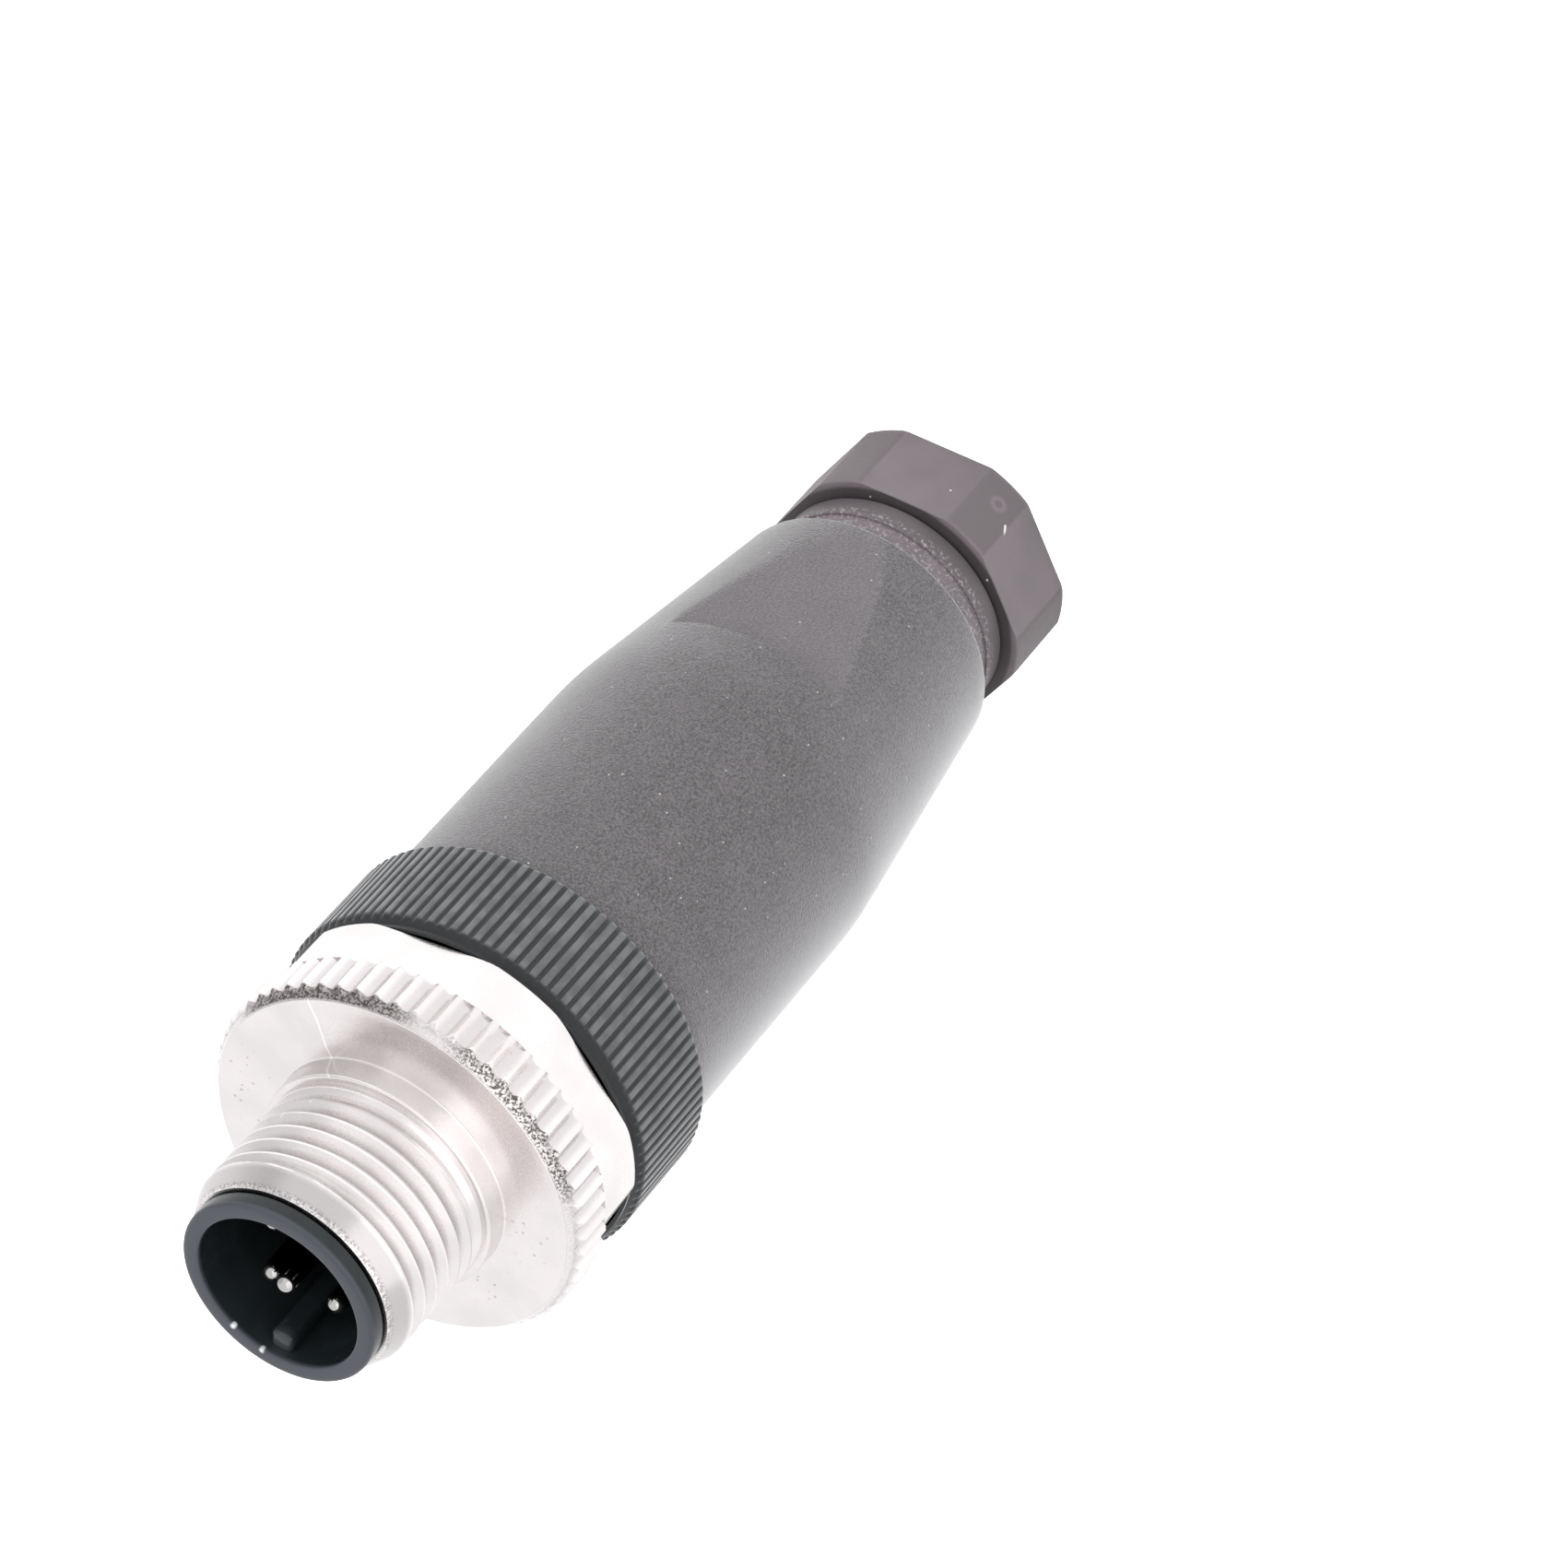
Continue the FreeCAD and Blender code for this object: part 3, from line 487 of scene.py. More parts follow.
def speckle_and_painted_reflection(tree, away):
    """Mask of dark speckle on the bevel and front edge, and of painted reflection on two sides."""
    blots = steps(tree, noise(tree, SPECKLE_SCALE, 2.0, 0.7), 0.42, 0.58)
    bevel = times(tree, height_band(tree, KNURL_TOP + 0.05, DISC_FACE - 0.06, 0.06),
                  beyond(tree, away, 9.2, 9.5))
    share = times(tree, blots, 0.12)
    # Dark reflections painted on the sides of the bevel
    for bearing, full, gone, least in BEVEL_PAINTED_REFLECTIONS:
        patchy = steps(tree, blots, 0.0, 1.0, least, 0.9)
        share = plus(tree, share, times(tree, side_mask(tree, bearing, full, gone), patchy))
    shaded = times(tree, bevel, share, clamp=True)
    edge = times(tree, blots, height_band(tree, COUPLING_TOP - 0.30, COUPLING_TOP, 0.1))
    return maths(tree, "MAXIMUM", shaded, times(tree, edge, 0.55))


def painted_groove_shade(tree, away):
    """Mask of the painted shade at the foot of the knurl and of the thread."""
    knurl = times(tree, height_band(tree, KNURL_BASE, DISC_FACE - 0.3, 0.1),
                  within(tree, away, 9.90, 10.12))
    thread = times(tree, height_band(tree, THREAD_BASE, LEAD_BASE, 0.1),
                   within(tree, away, 5.38, 5.72))
    return plus(tree, times(tree, knurl, 0.45), times(tree, thread, 0.5), clamp=True)


def metal_stains(tree):
    """Mask of the small dirt spots and of the smudges on the flat face."""
    stained = 0.0
    for spot in STAINS:
        stained = plus(tree, stained, spot_mask(tree, spot, 2.2))
    smudges = times(tree, stained, specks_of(tree, 0.32, 0.32, 0.30))
    return plus(tree, times(tree, specks_of(tree, 1.6, 0.06, 0.12), 0.5),
                times(tree, smudges, 0.45), clamp=True)


def metal_material():
    tree, surface = new_material("nickel_plating")
    base = colours().metal
    grain = grain_of(tree, 0.16, 0.4)
    away = axis_distance(tree)
    lead = height_band(tree, LEAD_BASE + 0.15, COUPLING_TOP - 0.2, 0.15)
    shade = mottled(tree, grain, base, 0.96, 1.05)
    # Painted shade at the foot of the knurl and of the thread
    shade = mixed(tree, painted_groove_shade(tree, away), shade, rgba(base, 0.55))
    shade = mixed(tree, lead, shade, rgba(base, 0.70))
    # Speckle, and the dark reflection painted on two sides of the bevel
    shade = mixed(tree, speckle_and_painted_reflection(tree, away), shade, rgba(SPECKLE_AND_REFLECTION_TINT))
    for start, end in zip(SCRATCH, SCRATCH[1:]):
        scratch = times(tree, line_mask(tree, start, end, 0.09), 0.9)
        shade = mixed(tree, scratch, shade, rgba(SCRATCH_TINT))
    fill(tree, surface, {"Base Color": mixed(tree, metal_stains(tree), shade, rgba(STAIN_TINT)),
                         "Roughness": by_grain(tree, grain, 0.20, 0.31), "Metallic": 1.0,
                         "Normal": bumped(tree, grain["Height"], 0.05, 0.01)})


def shroud_shade(tree, grain):
    """Glossy plastic of the shroud; its rim's reflection, key end's highlight and glints are painted.
    """
    rim = height_band(tree, RIM - 0.2, RIM + 0.2, 0.1)
    shade = mottled(tree, grain, colours().carrier, 0.8, 1.2)
    # Painted reflection on the rim, lighter than the plastic
    shade = mixed(tree, rim, shade, rgba(colours().rim))
    # Painted highlight on the end of the coding key
    shade = mixed(tree, spot_mask(tree, KEY_END_HIGHLIGHT, 0.9), shade, rgba(KEY_HIGHLIGHT_TINT))
    # Painted glints on the shroud's inner edge
    for spot in GLINTS:
        shade = mixed(tree, spot_mask(tree, spot, 0.22), shade, rgba(GLINT_TINT))
    return shade


def ring_shade(tree, grain):
    """Matt plastic of the ribbed flange, scuffed on the ribs, with painted shade along its upper edge.
    """
    ring = colours().ring
    scuffs = placed_group(tree, "outer_wear", {"Radius": 10.10 * MM, "Softness": 0.06 * MM})
    bevel = height_band(tree, FLANGE_TOP - 0.55, FLANGE_TOP + 0.2, 0.1)
    shade = mottled(tree, grain, ring, 0.88, 1.12)
    shade = mixed(tree, times(tree, scuffs["Mask"], 0.45), shade, rgba(SCUFF_TINT))
    # Painted shade along the upper bevel, below the coupling screw
    shade = mixed(tree, times(tree, bevel, 0.85), shade, rgba(ring, 0.30))
    # Painted sheen where the ribs are seen at a glance
    shade = painted_sheen_edges(tree, shade, RING_SHEEN_TINT, 0.4)
    return mixed(tree, specks_of(tree, 1.2, 0.09, 0.07), shade, rgba(RING_DUST))


def carrier_material():
    tree, surface = new_material("shroud_plastic")
    grain = grain_of(tree, 0.12, 0.6)
    ring = height_band(tree, 0.0, FLANGE_TOP + 0.2, 0.2)
    roughness = blended(tree, ring, by_grain(tree, grain, 0.16, 0.24),
                        by_grain(tree, grain, 0.48, 0.62))
    depth = blended(tree, ring, times(tree, grain["Height"], 0.25), grain["Height"])
    fill(tree, surface, {
        "Base Color": mixed(tree, ring, shroud_shade(tree, grain), ring_shade(tree, grain)),
        "Roughness": roughness, "Specular IOR Level": 0.3,
        "Sheen Weight": times(tree, ring, 0.7), "Sheen Roughness": 0.3,
        "Normal": bumped(tree, depth, 0.25, 0.01)})


def sleeve_material():
    tree, surface = new_material("grained_plastic")
    base = colours().sleeve
    grain = grain_of(tree, 0.12, 0.08)
    pits = steps(tree, grain["Height"], 0.32, 0.68)
    grained = mixed(tree, pits, rgba(base, 0.42), rgba(base, 1.58))
    shade = mixed(tree, 0.85, mottled(tree, grain, base, 0.93, 1.08), grained)
    level = node(tree, "ShaderNodeSeparateXYZ", {0: object_place(tree)}).outputs["Y"]
    plane = sizes().sleeve_flats / 2 / MM
    flats = times(tree, beyond(tree, maths(tree, "ABSOLUTE", level), plane - 0.12, plane - 0.02),
                  height_band(tree, SLEEVE_BASE, SLEEVE_FLAT_TOP, 0.3))
    # Painted light on the spanner flats, lighter than the cone beside them
    shade = mixed(tree, times(tree, flats, 0.22), shade, rgba(base, 2.4))
    # Painted sheen where the sleeve is seen at a glance, stronger towards one side
    painted_sheen = steps(tree, side_mask(tree, 150.0, 0.9, -0.6), 0.0, 1.0, 0.30, 1.12)
    shade = painted_sheen_edges(tree, shade, SLEEVE_SHEEN_TINT, painted_sheen)
    dust = specks_of(tree, 0.7, 0.09, 0.34)
    fill(tree, surface, {"Base Color": mixed(tree, dust, shade, rgba(SLEEVE_DUST)),
                         "Roughness": by_grain(tree, grain, 0.48, 0.62),
                         "Sheen Weight": 0.85, "Sheen Roughness": 0.28,
                         "Normal": bumped(tree, grain["Height"], 1.0, 0.08)})


def nut_material():
    tree, surface = new_material("nut_plastic")
    base = colours().nut
    grain = grain_of(tree, 0.2, 0.5)
    away = axis_distance(tree)
    # Masks of painted shade: the hexagon's corners, its top face by the neck, and the collar
    corners = times(tree, beyond(tree, away, 7.41, 7.46),
                    height_band(tree, 0.3, NUT_TOP - 0.1, 0.15))
    neck = times(tree, within(tree, away, 7.00, 7.25),
                 height_band(tree, NUT_TOP - 0.05, NUT_TOP + 0.3, 0.08))
    collar = height_band(tree, NUT_TOP + 0.2, NUT_COLLAR_TOP - 0.05, 0.05)
    mark = minus(tree, spot_mask(tree, NUT_MARK, 0.62), spot_mask(tree, NUT_MARK, 0.42),
                 clamp=True)
    frost = times(tree, height_band(tree, NUT_COLLAR_TOP - 0.5, SLEEVE_BASE, 0.2),
                  steps(tree, noise(tree, FROST_SCALE, 5.0, 0.7), 0.50, 0.66, 0.0, 0.42))
    shade = mottled(tree, grain, base, 0.92, 1.08)
    # Painted shade on the corners, the neck's face and the collar; the moulding mark is lighter
    for mask, share in ((corners, 0.80), (neck, 0.30), (collar, 0.66), (mark, 1.35)):
        shade = mixed(tree, mask, shade, rgba(base, share))
    shade = mixed(tree, line_mask(tree, *NUT_NICK, 0.13), shade, rgba(NICK_TINT))
    shade = mixed(tree, frost, shade, rgba(FROST_TINT))
    shade = mixed(tree, specks_of(tree, 1.8, 0.05, 0.12), shade, rgba(NUT_DUST))
    relief = plus(tree, times(tree, grain["Height"], 0.2), mark)
    fill(tree, surface, {"Base Color": shade, "Roughness": by_grain(tree, grain, 0.42, 0.55),
                         "Normal": bumped(tree, relief, 1.0, 0.02)})


def contact_material():
    """Bright ball tips, with painted shade on the shafts further down in the shroud."""
    tree, surface = new_material("pin_plating")
    grain = grain_of(tree, 0.2, 0.4)
    depth = node(tree, "ShaderNodeAttribute", attribute_name="below_tip").outputs["Fac"]
    plated = mottled(tree, grain, colours().pin, 0.95, 1.03)
    # Painted shade on the shafts below the ball tips
    shaded_shafts = mixed(tree, beyond(tree, depth, 0.28, 0.70), plated, rgba(SHAFT_SHADE_TINT))
    fill(tree, surface, {"Base Color": shaded_shafts, "Roughness": by_grain(tree, grain, 0.07, 0.12),
                         "Metallic": 1.0})


def steel_material():
    tree, surface = new_material("bright_steel")
    grain = grain_of(tree, 0.2, 0.4)
    fill(tree, surface, {"Base Color": mottled(tree, grain, colours().steel, 0.92, 1.05),
                         "Roughness": by_grain(tree, grain, 0.28, 0.38), "Metallic": 1.0,
                         "Normal": bumped(tree, grain["Height"], 0.1, 0.005)})


def dull_plastic(name, base, roughness):
    tree, surface = new_material(name)
    grain = grain_of(tree, 0.3, 0.5)
    fill(tree, surface, {"Base Color": mottled(tree, grain, base, 0.8, 1.25),
                         "Roughness": by_grain(tree, grain, roughness, roughness + 0.15),
                         "Normal": bumped(tree, grain["Height"], 0.3, 0.02)})


def floor_material(glow):
    """Pale floor that shines by itself towards the camera alone."""
    tree, surface = new_material("floor_white")
    grain = grain_of(tree, 2.0, 0.3)
    seen = node(tree, "ShaderNodeLightPath").outputs["Is Camera Ray"]
    fill(tree, surface, {"Base Color": mottled(tree, grain, colours().floor, 0.99, 1.0),
                         "Roughness": 0.9, "Emission Color": rgba(WHITE),
                         "Emission Strength": times(tree, seen, glow)})


def build_materials():
    build_grain_group()
    build_speck_group()
    build_rim_group()
    build_bearing_group()
    build_hairline_group()
    metal_material()
    carrier_material()
    sleeve_material()
    nut_material()
    contact_material()
    steel_material()
    dull_plastic("black_rubber", colours().rubber, 0.6)
    dull_plastic("cage_moulding", colours().cage, 0.45)


# Meshes


def mesh_from(shape, name):
    """Mesh with the faces of an edit shape, which is then freed."""
    mesh = bpy.data.meshes.new(name)
    shape.to_mesh(mesh)
    shape.free()
    return mesh


def linked(name, data):
    """Object in the scene that shows a mesh, a lamp or a camera."""
    item = bpy.data.objects.new(name, data)
    bpy.context.scene.collection.objects.link(item)
    return item


def finish_mesh(mesh, sharp=PLAIN_EDGE):
    """Close seams, turn the faces outwards and shade them smooth between the edges."""
    shape = bmesh.new()
    shape.from_mesh(mesh)
    bmesh.ops.remove_doubles(shape, verts=shape.verts, dist=0.000002)
    bmesh.ops.dissolve_degenerate(shape, edges=shape.edges, dist=0.000001)
    bmesh.ops.recalc_face_normals(shape, faces=shape.faces)
    if shape.calc_volume(signed=True) < 0:
        bmesh.ops.reverse_faces(shape, faces=shape.faces)
    shape.to_mesh(mesh)
    shape.free()
    mesh.shade_smooth()
    mesh.set_sharp_from_angle(angle=math.radians(sharp))
    return mesh


def rounded(corners, arc_steps=4):
    """Closed outline in millimetres from corners (radius, height, rounding)."""
    points = []
    total = len(corners)
    for i, (radius, height, rounding) in enumerate(corners):
        here = Vector((radius, height))
        if not rounding:
            points.append(here)
            continue
        before = Vector(corners[i - 1][:2]) - here
        after = Vector(corners[(i + 1) % total][:2]) - here
        reach = rounding / math.tan(before.angle(after) / 2)
        reach = min(reach, before.length * 0.49, after.length * 0.49)
        start = here + before.normalized() * reach
        end = here + after.normalized() * reach
        for k in range(arc_steps + 1):
            t = k / arc_steps
            points.append((1 - t) ** 2 * start + 2 * t * (1 - t) * here + t ** 2 * end)
    return points


def divided(points, longest):
    """The same closed outline with no run longer than a length."""
    result = []
    for i, start in enumerate(points):
        end = points[(i + 1) % len(points)]
        pieces = max(1, math.ceil((end - start).length / longest))
        result += [start.lerp(end, k / pieces) for k in range(pieces)]
    return result


def lathe(name, corners, segments=256, longest=4.0, rule=None, shift=(0.0, 0.0)):
    """Turned shape from a closed outline; the rule may pull points in towards the axis."""
    points = divided(rounded(corners), longest)
    shape = bmesh.new()
    rings = []
    for column in range(segments):
        angle = TURN * column / segments
        ring = []
        for radius, height in points:
            r = rule(radius, height, angle) if rule else radius
            ring.append(shape.verts.new(((r * math.cos(angle) + shift[0]) * MM,
                                         (r * math.sin(angle) + shift[1]) * MM, height * MM)))
        rings.append(ring)
    for column in range(segments):
        here, beside = rings[column], rings[(column + 1) % segments]
        for k in range(len(points)):
            after = (k + 1) % len(points)
            shape.faces.new((here[k], beside[k], beside[after], here[after]))
    return finish_mesh(mesh_from(shape, name))


def soft_min(first, second, softness):
    """Lower of two values with a rounded change from one to the other."""
    blend = max(0.0, min(1.0, 0.5 + 0.5 * (second - first) / softness))
    return second + (first - second) * blend - softness * blend * (1 - blend)


def flats_rule(low, high, across, normals, softness, edge):
    """Rule that planes flats on a turned shape between two heights. The lower end of each
    flat has a rounded edge."""
    def rule(radius, height, angle):
        if not low <= height <= high:
            return radius
        short = max(0.0, edge - (height - low))
        inset = edge - math.sqrt(edge ** 2 - short ** 2)
        for normal in normals:
            turn = math.cos(angle - normal)
            if turn > 0.3:
                radius = soft_min(radius, (across / MM / 2 - inset) / turn, softness)
        return radius
    return rule


def hexagon(turn):
    """Bearings of six flats, the first of them at a turn."""
    return [turn + TURN * k / 6 for k in range(6)]


# Geometry node trees for what repeats round the axis


def wrapped_grid(tree, columns, rows):
    """Grid for a closed ring: the share of a turn and the row number of each point."""
    grid = node(tree, "GeometryNodeMeshGrid", {
        "Size X": 1.0, "Size Y": 1.0, "Vertices X": plus(tree, columns, 1.0), "Vertices Y": rows})
    spot = node(tree, "GeometryNodeInputPosition").outputs[0]
    place = node(tree, "ShaderNodeSeparateXYZ", {0: spot}).outputs
    along = plus(tree, place["Y"], 0.5)
    row = maths(tree, "ROUND", times(tree, along, minus(tree, rows, 1.0)))
    return grid.outputs["Mesh"], plus(tree, place["X"], 0.5), row


def fallen(tree, phase, given):
    """How far a point lies down the flank: 0 on the crest and 1 in the groove."""
    from_crest = maths(tree, "ABSOLUTE", minus(tree, times(tree, phase, 2.0), 1.0))
    return over(tree, minus(tree, from_crest, given["Crest Share"]), given["Flank Share"],
                clamp=True)


def bevelled(tree, radius, crest, distance, bevel, edge_radius):
    """Radius held under a cone that rises from the edge radius to the crest."""
    rise = times(tree, over(tree, distance, bevel), minus(tree, crest, edge_radius))
    return maths(tree, "MINIMUM", radius, plus(tree, edge_radius, rise))


def close_ring(tree, given, result, mesh, around, row, rows, radius, height, span):
    """Place the outer rows, and fold the first two and the last onto the inner radius."""
    angle = times(tree, around, TURN)
    first = maths(tree, "LESS_THAN", row, 0.5)
    last = maths(tree, "GREATER_THAN", row, minus(tree, rows, 1.5))
    inner = plus(tree, maths(tree, "LESS_THAN", row, 1.5), last, clamp=True)
    outward = plus(tree, times(tree, inner, given["Inner Radius"]),
                   times(tree, minus(tree, 1.0, inner), radius))
    spot = node(tree, "ShaderNodeCombineXYZ", {
        "X": times(tree, outward, maths(tree, "COSINE", angle)),
        "Y": times(tree, outward, maths(tree, "SINE", angle)),
        "Z": plus(tree, height, times(tree, first, span))})
    moved = node(tree, "GeometryNodeSetPosition", {"Geometry": mesh, "Position": spot.outputs[0]})
    real = node(tree, "GeometryNodeRealizeInstances", {"Geometry": moved.outputs[0]})
    dressed = node(tree, "GeometryNodeSetMaterial", {"Geometry": real.outputs[0],
                                                     "Material": given["Material"]})
    fill(tree, result, {"Geometry": dressed.outputs[0]})


def build_toothed_ring_tree():
    """Closed ring whose outside carries teeth or ribs, with a bevel at each end."""
    tree, given, result = group_tree("toothed_ring", {
        "Teeth": 60, "Samples": 8, "Rows": 20, "Crest Radius": 0.01, "Root Radius": 0.0095,
        "Inner Radius": 0.009, "Crest Share": 0.1, "Flank Share": 0.5, "Hollow": 1.0,
        "Lower End": 0.0, "Upper End": 0.01, "Lower Bevel": 0.0001, "Lower Edge Radius": 0.01,
        "Upper Bevel": 0.0001, "Upper Edge Radius": 0.01, "Material": None,
    }, ["Geometry"], "GeometryNodeTree", "NodeSocketGeometry")
    rows = plus(tree, given["Rows"], 3.0)
    mesh, around, row = wrapped_grid(tree, times(tree, given["Teeth"], given["Samples"]), rows)
    span = minus(tree, given["Upper End"], given["Lower End"])
    along = over(tree, minus(tree, row, 2.0), minus(tree, given["Rows"], 1.0), clamp=True)
    height = plus(tree, given["Lower End"], times(tree, along, span))
    phase = maths(tree, "FRACT", times(tree, around, given["Teeth"]))
    left = minus(tree, 1.0, fallen(tree, phase, given))
    hollow = minus(tree, 1.0, maths(tree, "POWER", left, given["Hollow"]))
    crest = given["Crest Radius"]
    radius = minus(tree, crest, times(tree, hollow, minus(tree, crest, given["Root Radius"])))
    for end, distance in (("Lower", minus(tree, height, given["Lower End"])),
                          ("Upper", minus(tree, given["Upper End"], height))):
        radius = bevelled(tree, radius, crest, distance, given[end + " Bevel"],
                          given[end + " Edge Radius"])
    close_ring(tree, given, result, mesh, around, row, rows, radius, height, span)


def build_thread_tree():
    """Closed ring whose outside is a right-hand thread that fades out at its lower end."""
    tree, given, result = group_tree("helical_thread", {
        "Columns": 192, "Rows Per Turn": 12, "Crest Radius": 0.006, "Root Radius": 0.0054,
        "Inner Radius": 0.005, "Pitch": 0.001, "Crest Share": 0.17, "Flank Share": 0.66,
        "Lower End": 0.0, "Upper End": 0.01, "Run Out": 0.0008, "Upper Fade": 0.0005,
        "Lead Height": 0.001, "Lead Radius": 0.0054, "Material": None,
    }, ["Geometry"], "GeometryNodeTree", "NodeSocketGeometry")
    pitch, fineness = given["Pitch"], given["Rows Per Turn"]
    span = minus(tree, given["Upper End"], given["Lower End"])
    turns = plus(tree, maths(tree, "CEIL", over(tree, span, pitch)), 1.0)
    rows = plus(tree, times(tree, turns, fineness), 4.0)
    mesh, around, row = wrapped_grid(tree, given["Columns"], rows)
    turn = minus(tree, over(tree, minus(tree, row, 2.0), fineness), 1.0)
    climbed = times(tree, plus(tree, turn, around), pitch)
    risen = maths(tree, "MAXIMUM", maths(tree, "MINIMUM", climbed, span), 0.0)
    phase = plus(tree, minus(tree, over(tree, risen, pitch), around), 1.0)
    fall = fallen(tree, maths(tree, "FRACT", phase), given)
    to_top = minus(tree, span, risen)
    to_lead = minus(tree, to_top, given["Lead Height"])
    grown_out = times(tree, over(tree, risen, given["Run Out"], clamp=True),
                      over(tree, to_lead, given["Upper Fade"], clamp=True))
    crest = given["Crest Radius"]
    depth = times(tree, grown_out, minus(tree, crest, given["Root Radius"]))
    radius = bevelled(tree, minus(tree, crest, times(tree, fall, depth)), crest, to_top,
                      given["Lead Height"], given["Lead Radius"])
    height = plus(tree, given["Lower End"], risen)
    close_ring(tree, given, result, mesh, around, row, rows, radius, height, span)


def grown(name, tree_name, values, material, sharp):
    """Mesh made by a geometry node tree."""
    tree = bpy.data.node_groups[tree_name]
    seed = linked(name + "_seed", bpy.data.meshes.new(name + "_seed"))
    modifier = seed.modifiers.new(tree_name, "NODES")
    modifier.node_group = tree
    chosen = dict(values, Material=bpy.data.materials[material])
    for item in tree.interface.items_tree:
        if item.in_out == "INPUT" and item.name in chosen:
            modifier[item.identifier] = chosen[item.name]
    evaluated = seed.evaluated_get(bpy.context.evaluated_depsgraph_get())
    mesh = bpy.data.meshes.new_from_object(evaluated)
    mesh.name = name
    bpy.data.objects.remove(seed)
    return finish_mesh(mesh, sharp)


def solid_below(node_name, height):
    """The solid's own mesh, merged, cut off above a height and closed there."""
    shape = bmesh.new()
    shape.from_mesh(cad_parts[node_name].data)
    bmesh.ops.remove_doubles(shape, verts=shape.verts, dist=0.0000005)
    cut = bmesh.ops.bisect_plane(shape, geom=shape.verts[:] + shape.edges[:] + shape.faces[:],
                                 dist=0.0000001, plane_co=(0.0, 0.0, height * MM),
                                 plane_no=(0.0, 0.0, 1.0), clear_outer=True)
    border = [item for item in cut["geom_cut"] if isinstance(item, bmesh.types.BMEdge)]
    bmesh.ops.triangle_fill(shape, edges=border, use_beauty=True, normal=(0.0, 0.0, 1.0))
    return finish_mesh(mesh_from(shape, node_name + "_lower"))


def slimmed(mesh, radius, new_radius):
    """Draw one cylinder of a turned mesh in to a smaller radius, both in millimetres."""
    for point in mesh.vertices:
        away = math.hypot(point.co.x, point.co.y)
        if abs(away - radius * MM) < 0.00002:
            point.co.x *= new_radius * MM / away
            point.co.y *= new_radius * MM / away
    return mesh


def rounded_block(name, low, high, edge):
    """Block between two corners in millimetres, with rounded edges."""
    shape = bmesh.new()
    bmesh.ops.create_cube(shape, size=1.0)
    middle = [(a + b) / 2 * MM for a, b in zip(low, high)]
    extent = [(b - a) * MM for a, b in zip(low, high)]
    for vertex in shape.verts:
        vertex.co = [m + c * e for m, c, e in zip(middle, vertex.co, extent)]
    bmesh.ops.bevel(shape, geom=shape.edges[:], offset=edge * MM, segments=3, profile=0.5,
                    affect="EDGES")
    return finish_mesh(mesh_from(shape, name))


def mark_depth(mesh, top):
    """Store how far each point lies below a height in millimetres."""
    depths = mesh.attributes.new("below_tip", "FLOAT", "POINT")
    for point, value in zip(mesh.vertices, depths.data):
        value.value = top * MM - point.co.z


def joined(name, meshes, material, body, slot_name, *nodes):
    """One piece from several meshes, riding on a body in place of its solids."""
    shape = bmesh.new()
    for mesh in meshes:
        shape.from_mesh(mesh)
        bpy.data.meshes.remove(mesh)
    whole = mesh_from(shape, name)
    whole.materials.append(bpy.data.materials[material])
    for face in whole.polygons:
        face.material_index = 0
    piece = linked(name, whole)
    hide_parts(*nodes)
    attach(piece, body)
    return piece


# Operators, one for each piece or group of like pieces


class PLUG_OT_finishes(bpy.types.Operator):
    """Builds the finishes of the plug and the trees of its repeated forms"""
    bl_idname = "plug.finishes"
    bl_label = "Finishes"

    def execute(self, context):
        build_materials()
        build_toothed_ring_tree()
        build_thread_tree()
        return {"FINISHED"}


class PLUG_OT_coupling(bpy.types.Operator):
    """Builds the coupling screw with hexagon, knurl, flat face, collar and thread"""
    bl_idname = "plug.coupling"
    bl_label = "Coupling screw"

    def execute(self, context):
        bore, undercut, collar, face, corner = 4.93, 5.4, 6.28, 9.7, 10.05
        base = HEX_BASE - 0.3
        rule = flats_rule(base - 1.0, KNURL_BASE - 0.01, sizes().coupling_hex,
                          hexagon(math.radians(39.0)), softness=0.10, edge=0.15)
        blank = lathe("coupling_blank", [
            (bore, base, 0.1), (corner, base, 0.12), (corner, KNURL_BASE - 0.02, 0.0),
            (sizes().knurl_root / MM - 0.15, KNURL_BASE + 0.02, 0.0),
            (face - 0.25, DISC_FACE - 0.2, 0.0), (face - 0.04, DISC_FACE - 0.1, 0.0),
            (face - 0.04, DISC_FACE, 0.06), (collar, DISC_FACE, 0.12),
            (collar, THREAD_BASE, 0.15), (undercut, THREAD_BASE + 0.02, 0.0),
            (bore, THREAD_BASE + 0.02, 0.0)], segments=360, longest=0.5, rule=rule)
        knurl = grown("coupling_knurl", "toothed_ring", {
            "Teeth": sizes().knurl_teeth, "Samples": 10, "Rows": 41,
            "Crest Radius": sizes().knurl_crest, "Root Radius": sizes().knurl_root,
            "Inner Radius": RING_BORE * MM, "Crest Share": 0.06, "Flank Share": 0.94,
            "Hollow": 2.0, "Lower End": KNURL_BASE * MM, "Upper End": (DISC_FACE - 0.05) * MM,
            "Lower Bevel": 0.00014, "Lower Edge Radius": 0.01015,
            "Upper Bevel": (DISC_FACE - KNURL_TOP) * MM, "Upper Edge Radius": face * MM,
        }, "nickel_plating", KNURL_EDGE)
        thread = grown("coupling_thread", "helical_thread", {
            "Columns": 240, "Rows Per Turn": 16, "Crest Radius": sizes().thread_crest,
            "Root Radius": sizes().thread_root, "Inner Radius": bore * MM,
            "Pitch": sizes().thread_pitch, "Crest Share": 0.125, "Flank Share": 0.75,
            "Lower End": THREAD_BASE * MM, "Upper End": COUPLING_TOP * MM, "Run Out": 0.0008,
            "Upper Fade": 0.0004, "Lead Height": 0.0013, "Lead Radius": 0.00538,
        }, "nickel_plating", FINE_EDGE)
        joined("coupling_screw_turned", [blank, knurl, thread], "nickel_plating", "coupling",
               "plated_metal", "coupling_screw")
        return {"FINISHED"}


